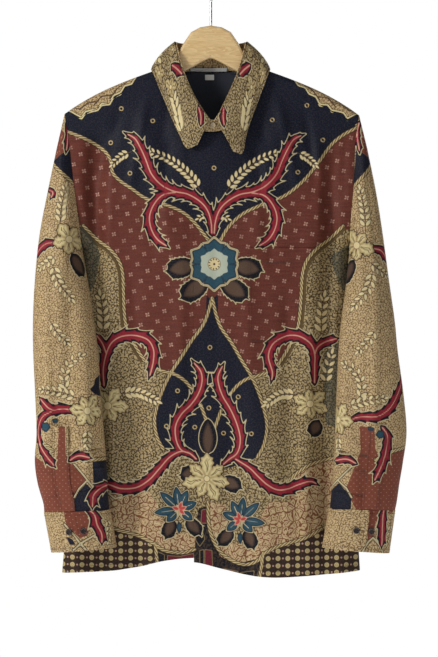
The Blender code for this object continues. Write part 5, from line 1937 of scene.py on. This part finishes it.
def sleeve_unroll(side, x, z):
    """Front view position on a sleeve to its unrolled cloth: the arc from its middle replaces x."""
    edges = []
    for edge, above in ABOVE_SLEEVE_Z.items():
        edge_x, edge_z = (column(SLEEVE, SLEEVE_COLUMNS, f"{side}_{edge}_{axis}") for axis in "xz")
        above_x = trunk(np.array(above), side + "_x")
        edges.append(smooth(np.concatenate([above, edge_z]), np.concatenate([above_x, edge_x]), z))
    outer, inner = edges
    middle, half = (outer + inner) / 2, np.maximum(np.abs(outer - inner) / 2, 6)
    across, arc = ellipse_arc()
    return middle + half * np.interp((x - middle) / half, across, arc)


def on_sleeve(side, chart_points):
    """Chart outline in front view to the sleeve's unrolled chart."""
    chart_points = np.asarray(chart_points, float)
    x = (chart_points[:, 0] - CHART_X0) * CHART_UNIT
    z = CHART_TOP_Z - chart_points[:, 1] * CHART_UNIT
    return to_chart(sleeve_unroll(side, x, z), z)


def sleeve_skin(side, station, turn):
    """Sleeve points with their creases, and their normals."""
    points = sleeve_point(side, station, turn)
    ring_middle = points.mean(axis=1, keepdims=True)
    normals = grid_normals(points, points - ring_middle, tube=True)
    shift = np.where(np.sin(turn) < 0, 22.0, 0.0)
    crease = fold_height(SLEEVE_CREASES, points[..., 0] * hand_of(side), points[..., 2] + shift)
    facing = ease(0.15, 0.6, np.abs(np.sin(turn)))
    facing = facing * ease(0.4, 1.6, station) * (1 - ease(11.3, 11.95, station))
    return points + normals * (crease * facing)[..., None], normals


def make_sleeve(side):
    cloth = draw_sleeve(side, lambda outline: on_sleeve(side, outline))
    around = 146
    turn, station = np.meshgrid(np.arange(around) * 2 * math.pi / around, np.linspace(0, len(SLEEVE), 336))
    points, normals = sleeve_skin(side, station, turn)
    chart = to_chart(sleeve_unroll(side, points[..., 0], points[..., 2]), points[..., 2])
    obj, stitches = shell(
        "sleeve_" + side + "_cloth", points, normals, chart, cloth, CLOTH, ["sleeve_" + side],
        hems=("bottom", "top"), tube=True,
    )
    make_placket(side, cloth)


def make_placket(side, cloth):
    turns = np.radians(PLACKET_DEG[side])
    turn, station = np.meshgrid(np.linspace(*turns, 16), np.linspace(7.8, len(SLEEVE) - 0.08, 84))
    points = sleeve_point(side, station, turn)
    normals = grid_normals(points, np.broadcast_to([0.0, -1.0, 0.0], points.shape))
    crease = fold_height(SLEEVE_CREASES, points[..., 0] * hand_of(side), points[..., 2])
    points = points + normals * (np.clip(crease, 0, 3) + LAYER_GAP + 1.3)[..., None]
    chart = to_chart(sleeve_unroll(side, points[..., 0], points[..., 2]), points[..., 2])
    obj, stitches = shell(
        "sleeve_placket_" + side + "_cloth", points, normals, chart, cloth, 1.0, ["sleeve_placket_" + side],
        hems=ALL_EDGES, sewn=PLACKET_SEWN,
    )


# --- Cuffs and collar -------------------------------------------------------------------------------
CUFF_RADIUS = 40.0  # mm of its unrolled band for a radian round it
CUFF_DEPTH = 60  # from its seam to its free edge


def cuff_points(side, turn, down):
    """The band's spiral: one end laps over the other."""
    start = math.radians(CUFF_EDGE_DEG[side] + CUFF_LAP_DEG)
    out = (FUSED + LAYER_GAP) * (start - turn) / (2 * math.pi)
    points = cuff_ring(side, down, turn, out)
    centre = cuff_ring(side, down, turn + math.pi, out)
    around = cuff_ring(side, down, turn + 0.01, out) - cuff_ring(side, down, turn - 0.01, out)
    axis = cuff_ring(side, down + 0.1, turn, out) - cuff_ring(side, down - 0.1, turn, out)
    normals = unit(np.cross(around, axis))
    return points, normals * np.sign(np.sum(normals * (points - centre), -1, keepdims=True))


def make_cuff(side):
    cloth = draw_cuff(side)
    start = math.radians(CUFF_EDGE_DEG[side] + CUFF_LAP_DEG)
    end = start - 2 * math.pi - math.radians(CUFF_LAP_DEG)
    turn, down = np.meshgrid(np.linspace(start, end, 176), np.linspace(0, 1, 38))
    points, normals = cuff_points(side, turn, down)
    arc = (math.pi / 2 - turn) * CUFF_RADIUS * hand_of(side)
    chart = np.stack([-arc / CHART_UNIT, down * CUFF_DEPTH / CHART_UNIT], -1)
    obj, stitches = shell(
        "cuff_" + side + "_cloth", points, normals, chart, cloth, FUSED, ["cuff_" + side], hems=ALL_EDGES,
        sewn=ALL_ROUND,
    )


def make_collar():
    cloth = draw_collar()
    station = np.linspace(-5, 5, 280)
    fold, edge = fold_line(station), fall_edge(station)
    down = np.linspace(0, 1, 42)[:, None, None]
    outwards = horizontal_from(fold, STAND_CENTRE)
    points = mix(fold, edge, down) + outwards * 4 * down * (1 - down) * COLLAR_ROLL
    normals = grid_normals(points, np.broadcast_to(outwards + [0, 0, 0.6], points.shape))
    middle = points[20]
    length = run_along(middle)
    length = length - np.interp(0, station, length)
    depth = np.linalg.norm(edge - fold, axis=1)
    chart = np.stack([np.broadcast_to(length, points.shape[:2]), down[..., 0] * depth], -1) / CHART_UNIT
    obj, stitches = shell(
        "collar_cloth", points, normals, chart, cloth, FUSED, ["collar"], hems=ALL_EDGES[:3], lining=batik,
        coarse=2, sewn=ALL_ROUND[1:],
    )


def make_stand():
    station = np.concatenate([np.linspace(-5, 5, 250), np.linspace(5, 5 + STAND_LAP, 14)[1:]])
    station[np.abs(station) < 1e-9] = 1e-9
    points, outwards = stand_grid(station, 22)
    normals = grid_normals(points, outwards)
    chart = np.stack([points[..., 0] / CHART_UNIT, (points[..., 2] + 60) / CHART_UNIT], -1)
    obj, stitches = shell(
        "collar_stand_cloth", points, normals, chart, Print(), FUSED, ["collar_stand"], hems=ALL_EDGES,
        lining=batik, coarse=1,
    )


# --- Stage, light and camera ------------------------------------------------------------------------
FLOOR_Z = -1.6
FLOOR_REACH = 4.5


def make_stage():
    """Pale floor under the hanging shirt."""
    n = Nodes("floor_white")
    n.look(Base_Color=(0.86, 0.855, 0.85), Roughness=0.9)
    n.look(Emission_Color=(1.0, 1.0, 0.99), Emission_Strength=0.8)
    data = bpy.data.meshes.new("floor")
    reach = FLOOR_REACH
    corners = [(x * reach, y * reach, FLOOR_Z) for x, y in ((-1, -1), (1, -1), (1, 1), (-1, 1))]
    data.from_pydata(corners, [], [(0, 1, 2, 3)])
    data.materials.append(n.material)
    floor = bpy.data.objects.new("floor", data)
    bpy.context.scene.collection.objects.link(floor)


def make_light(name, place, target, size, power, colour=(1, 1, 1)):
    light = bpy.data.lights.new(name, "AREA")
    light.shape = "RECTANGLE"
    light.size, light.size_y = size
    light.energy = power
    light.color = colour
    obj = bpy.data.objects.new(name, light)
    obj.location = place
    obj.rotation_euler = (Vector(target) - Vector(place)).to_track_quat("-Z", "Y").to_euler()
    bpy.context.scene.collection.objects.link(obj)


def make_lights():
    middle = (0.0, 0.0, -0.55)
    make_light("key", (-1.7, -1.25, 0.35), middle, (0.45, 0.9), 29.0, (1.0, 0.98, 0.94))
    make_light("fill", (0.4, -3.2, 0.3), middle, (1.2, 1.6), 3.6, (0.98, 0.99, 1.0))
    make_light("top", (-0.2, -0.9, 1.8), middle, (1.8, 0.9), 5.5)
    make_light("behind", (1.3, 3.0, 0.5), middle, (1.6, 1.6), 16.0)
    world = bpy.data.worlds.new("soft_white")
    world.use_nodes = True
    tree = world.node_tree
    ambient = tree.nodes["Background"]
    ambient.inputs["Color"].default_value = (1.0, 0.995, 0.985, 1)
    ambient.inputs["Strength"].default_value = 0.13
    # The white studio is seen plainly and lights the cloth only softly.
    seen = tree.nodes.new("ShaderNodeBackground")
    seen.inputs["Color"].default_value = (1.0, 1.0, 1.0, 1)
    mixed = tree.nodes.new("ShaderNodeMixShader")
    tree.links.new(tree.nodes.new("ShaderNodeLightPath").outputs["Is Camera Ray"], mixed.inputs[0])
    tree.links.new(ambient.outputs[0], mixed.inputs[1])
    tree.links.new(seen.outputs[0], mixed.inputs[2])
    tree.links.new(mixed.outputs[0], tree.nodes["World Output"].inputs["Surface"])
    bpy.context.scene.world = world
    bpy.context.scene.view_settings.view_transform = "Standard"


CAMERA_DISTANCE = 4.6
FRAME_HEIGHT = 0.985
FRAME_MIDDLE = (0.012, -0.55)  # x and z seen at the middle of the frame


def make_camera():
    camera = bpy.data.cameras.new("photo_view")
    camera.sensor_fit = "VERTICAL"
    camera.sensor_height = 24.0
    camera.lens = 24.0 * CAMERA_DISTANCE / FRAME_HEIGHT
    obj = bpy.data.objects.new("photo_view", camera)
    obj.location = (FRAME_MIDDLE[0], -CAMERA_DISTANCE, FRAME_MIDDLE[1])
    obj.rotation_euler = (math.pi / 2, 0, 0)
    bpy.context.scene.collection.objects.link(obj)
    bpy.context.scene.camera = obj


# --- The whole --------------------------------------------------------------------------------------
batik = make_batik()
navy_lining = make_plain_cloth("navy_wrong_side", linear(30, 36, 52), linear(20, 26, 40))
wrong_side = make_plain_cloth("print_wrong_side", linear(96, 74, 60), linear(60, 42, 38), 12.0)
thread = make_thread("dark_thread", linear(58, 44, 38))

make_stage()
make_lights()
make_camera()

trunk_print = draw_trunk()
make_fronts(trunk_print)
make_pocket(trunk_print)
make_back(trunk_print)
make_yoke(trunk_print)
for wearers in ("right", "left"):
    make_sleeve(wearers)
    make_cuff(wearers)
make_collar()
make_stand()

KEPT_FINISHES = {
    "hanger": make_wood(),
    "hanger_hook": make_steel(),
    "neck_tape": make_tape("tape_weave", linear(196, 196, 192), linear(150, 150, 148), 1.1),
    "size_label": make_tape("label_weave", linear(240, 240, 236), linear(216, 216, 212), 0.5),
    "collar_button": make_button_finish("pale_button", linear(196, 180, 150), linear(150, 130, 100)),
}
dark_button = make_button_finish("dark_button", linear(52, 40, 36), linear(30, 24, 22))
for node_name in ("cuff_button_right_1", "cuff_button_right_2", "cuff_button_left_1", "cuff_button_left_2"):
    KEPT_FINISHES[node_name] = dark_button
for node_name, finish in KEPT_FINISHES.items():
    for place in nodes[node_name].material_slots:
        place.material = finish
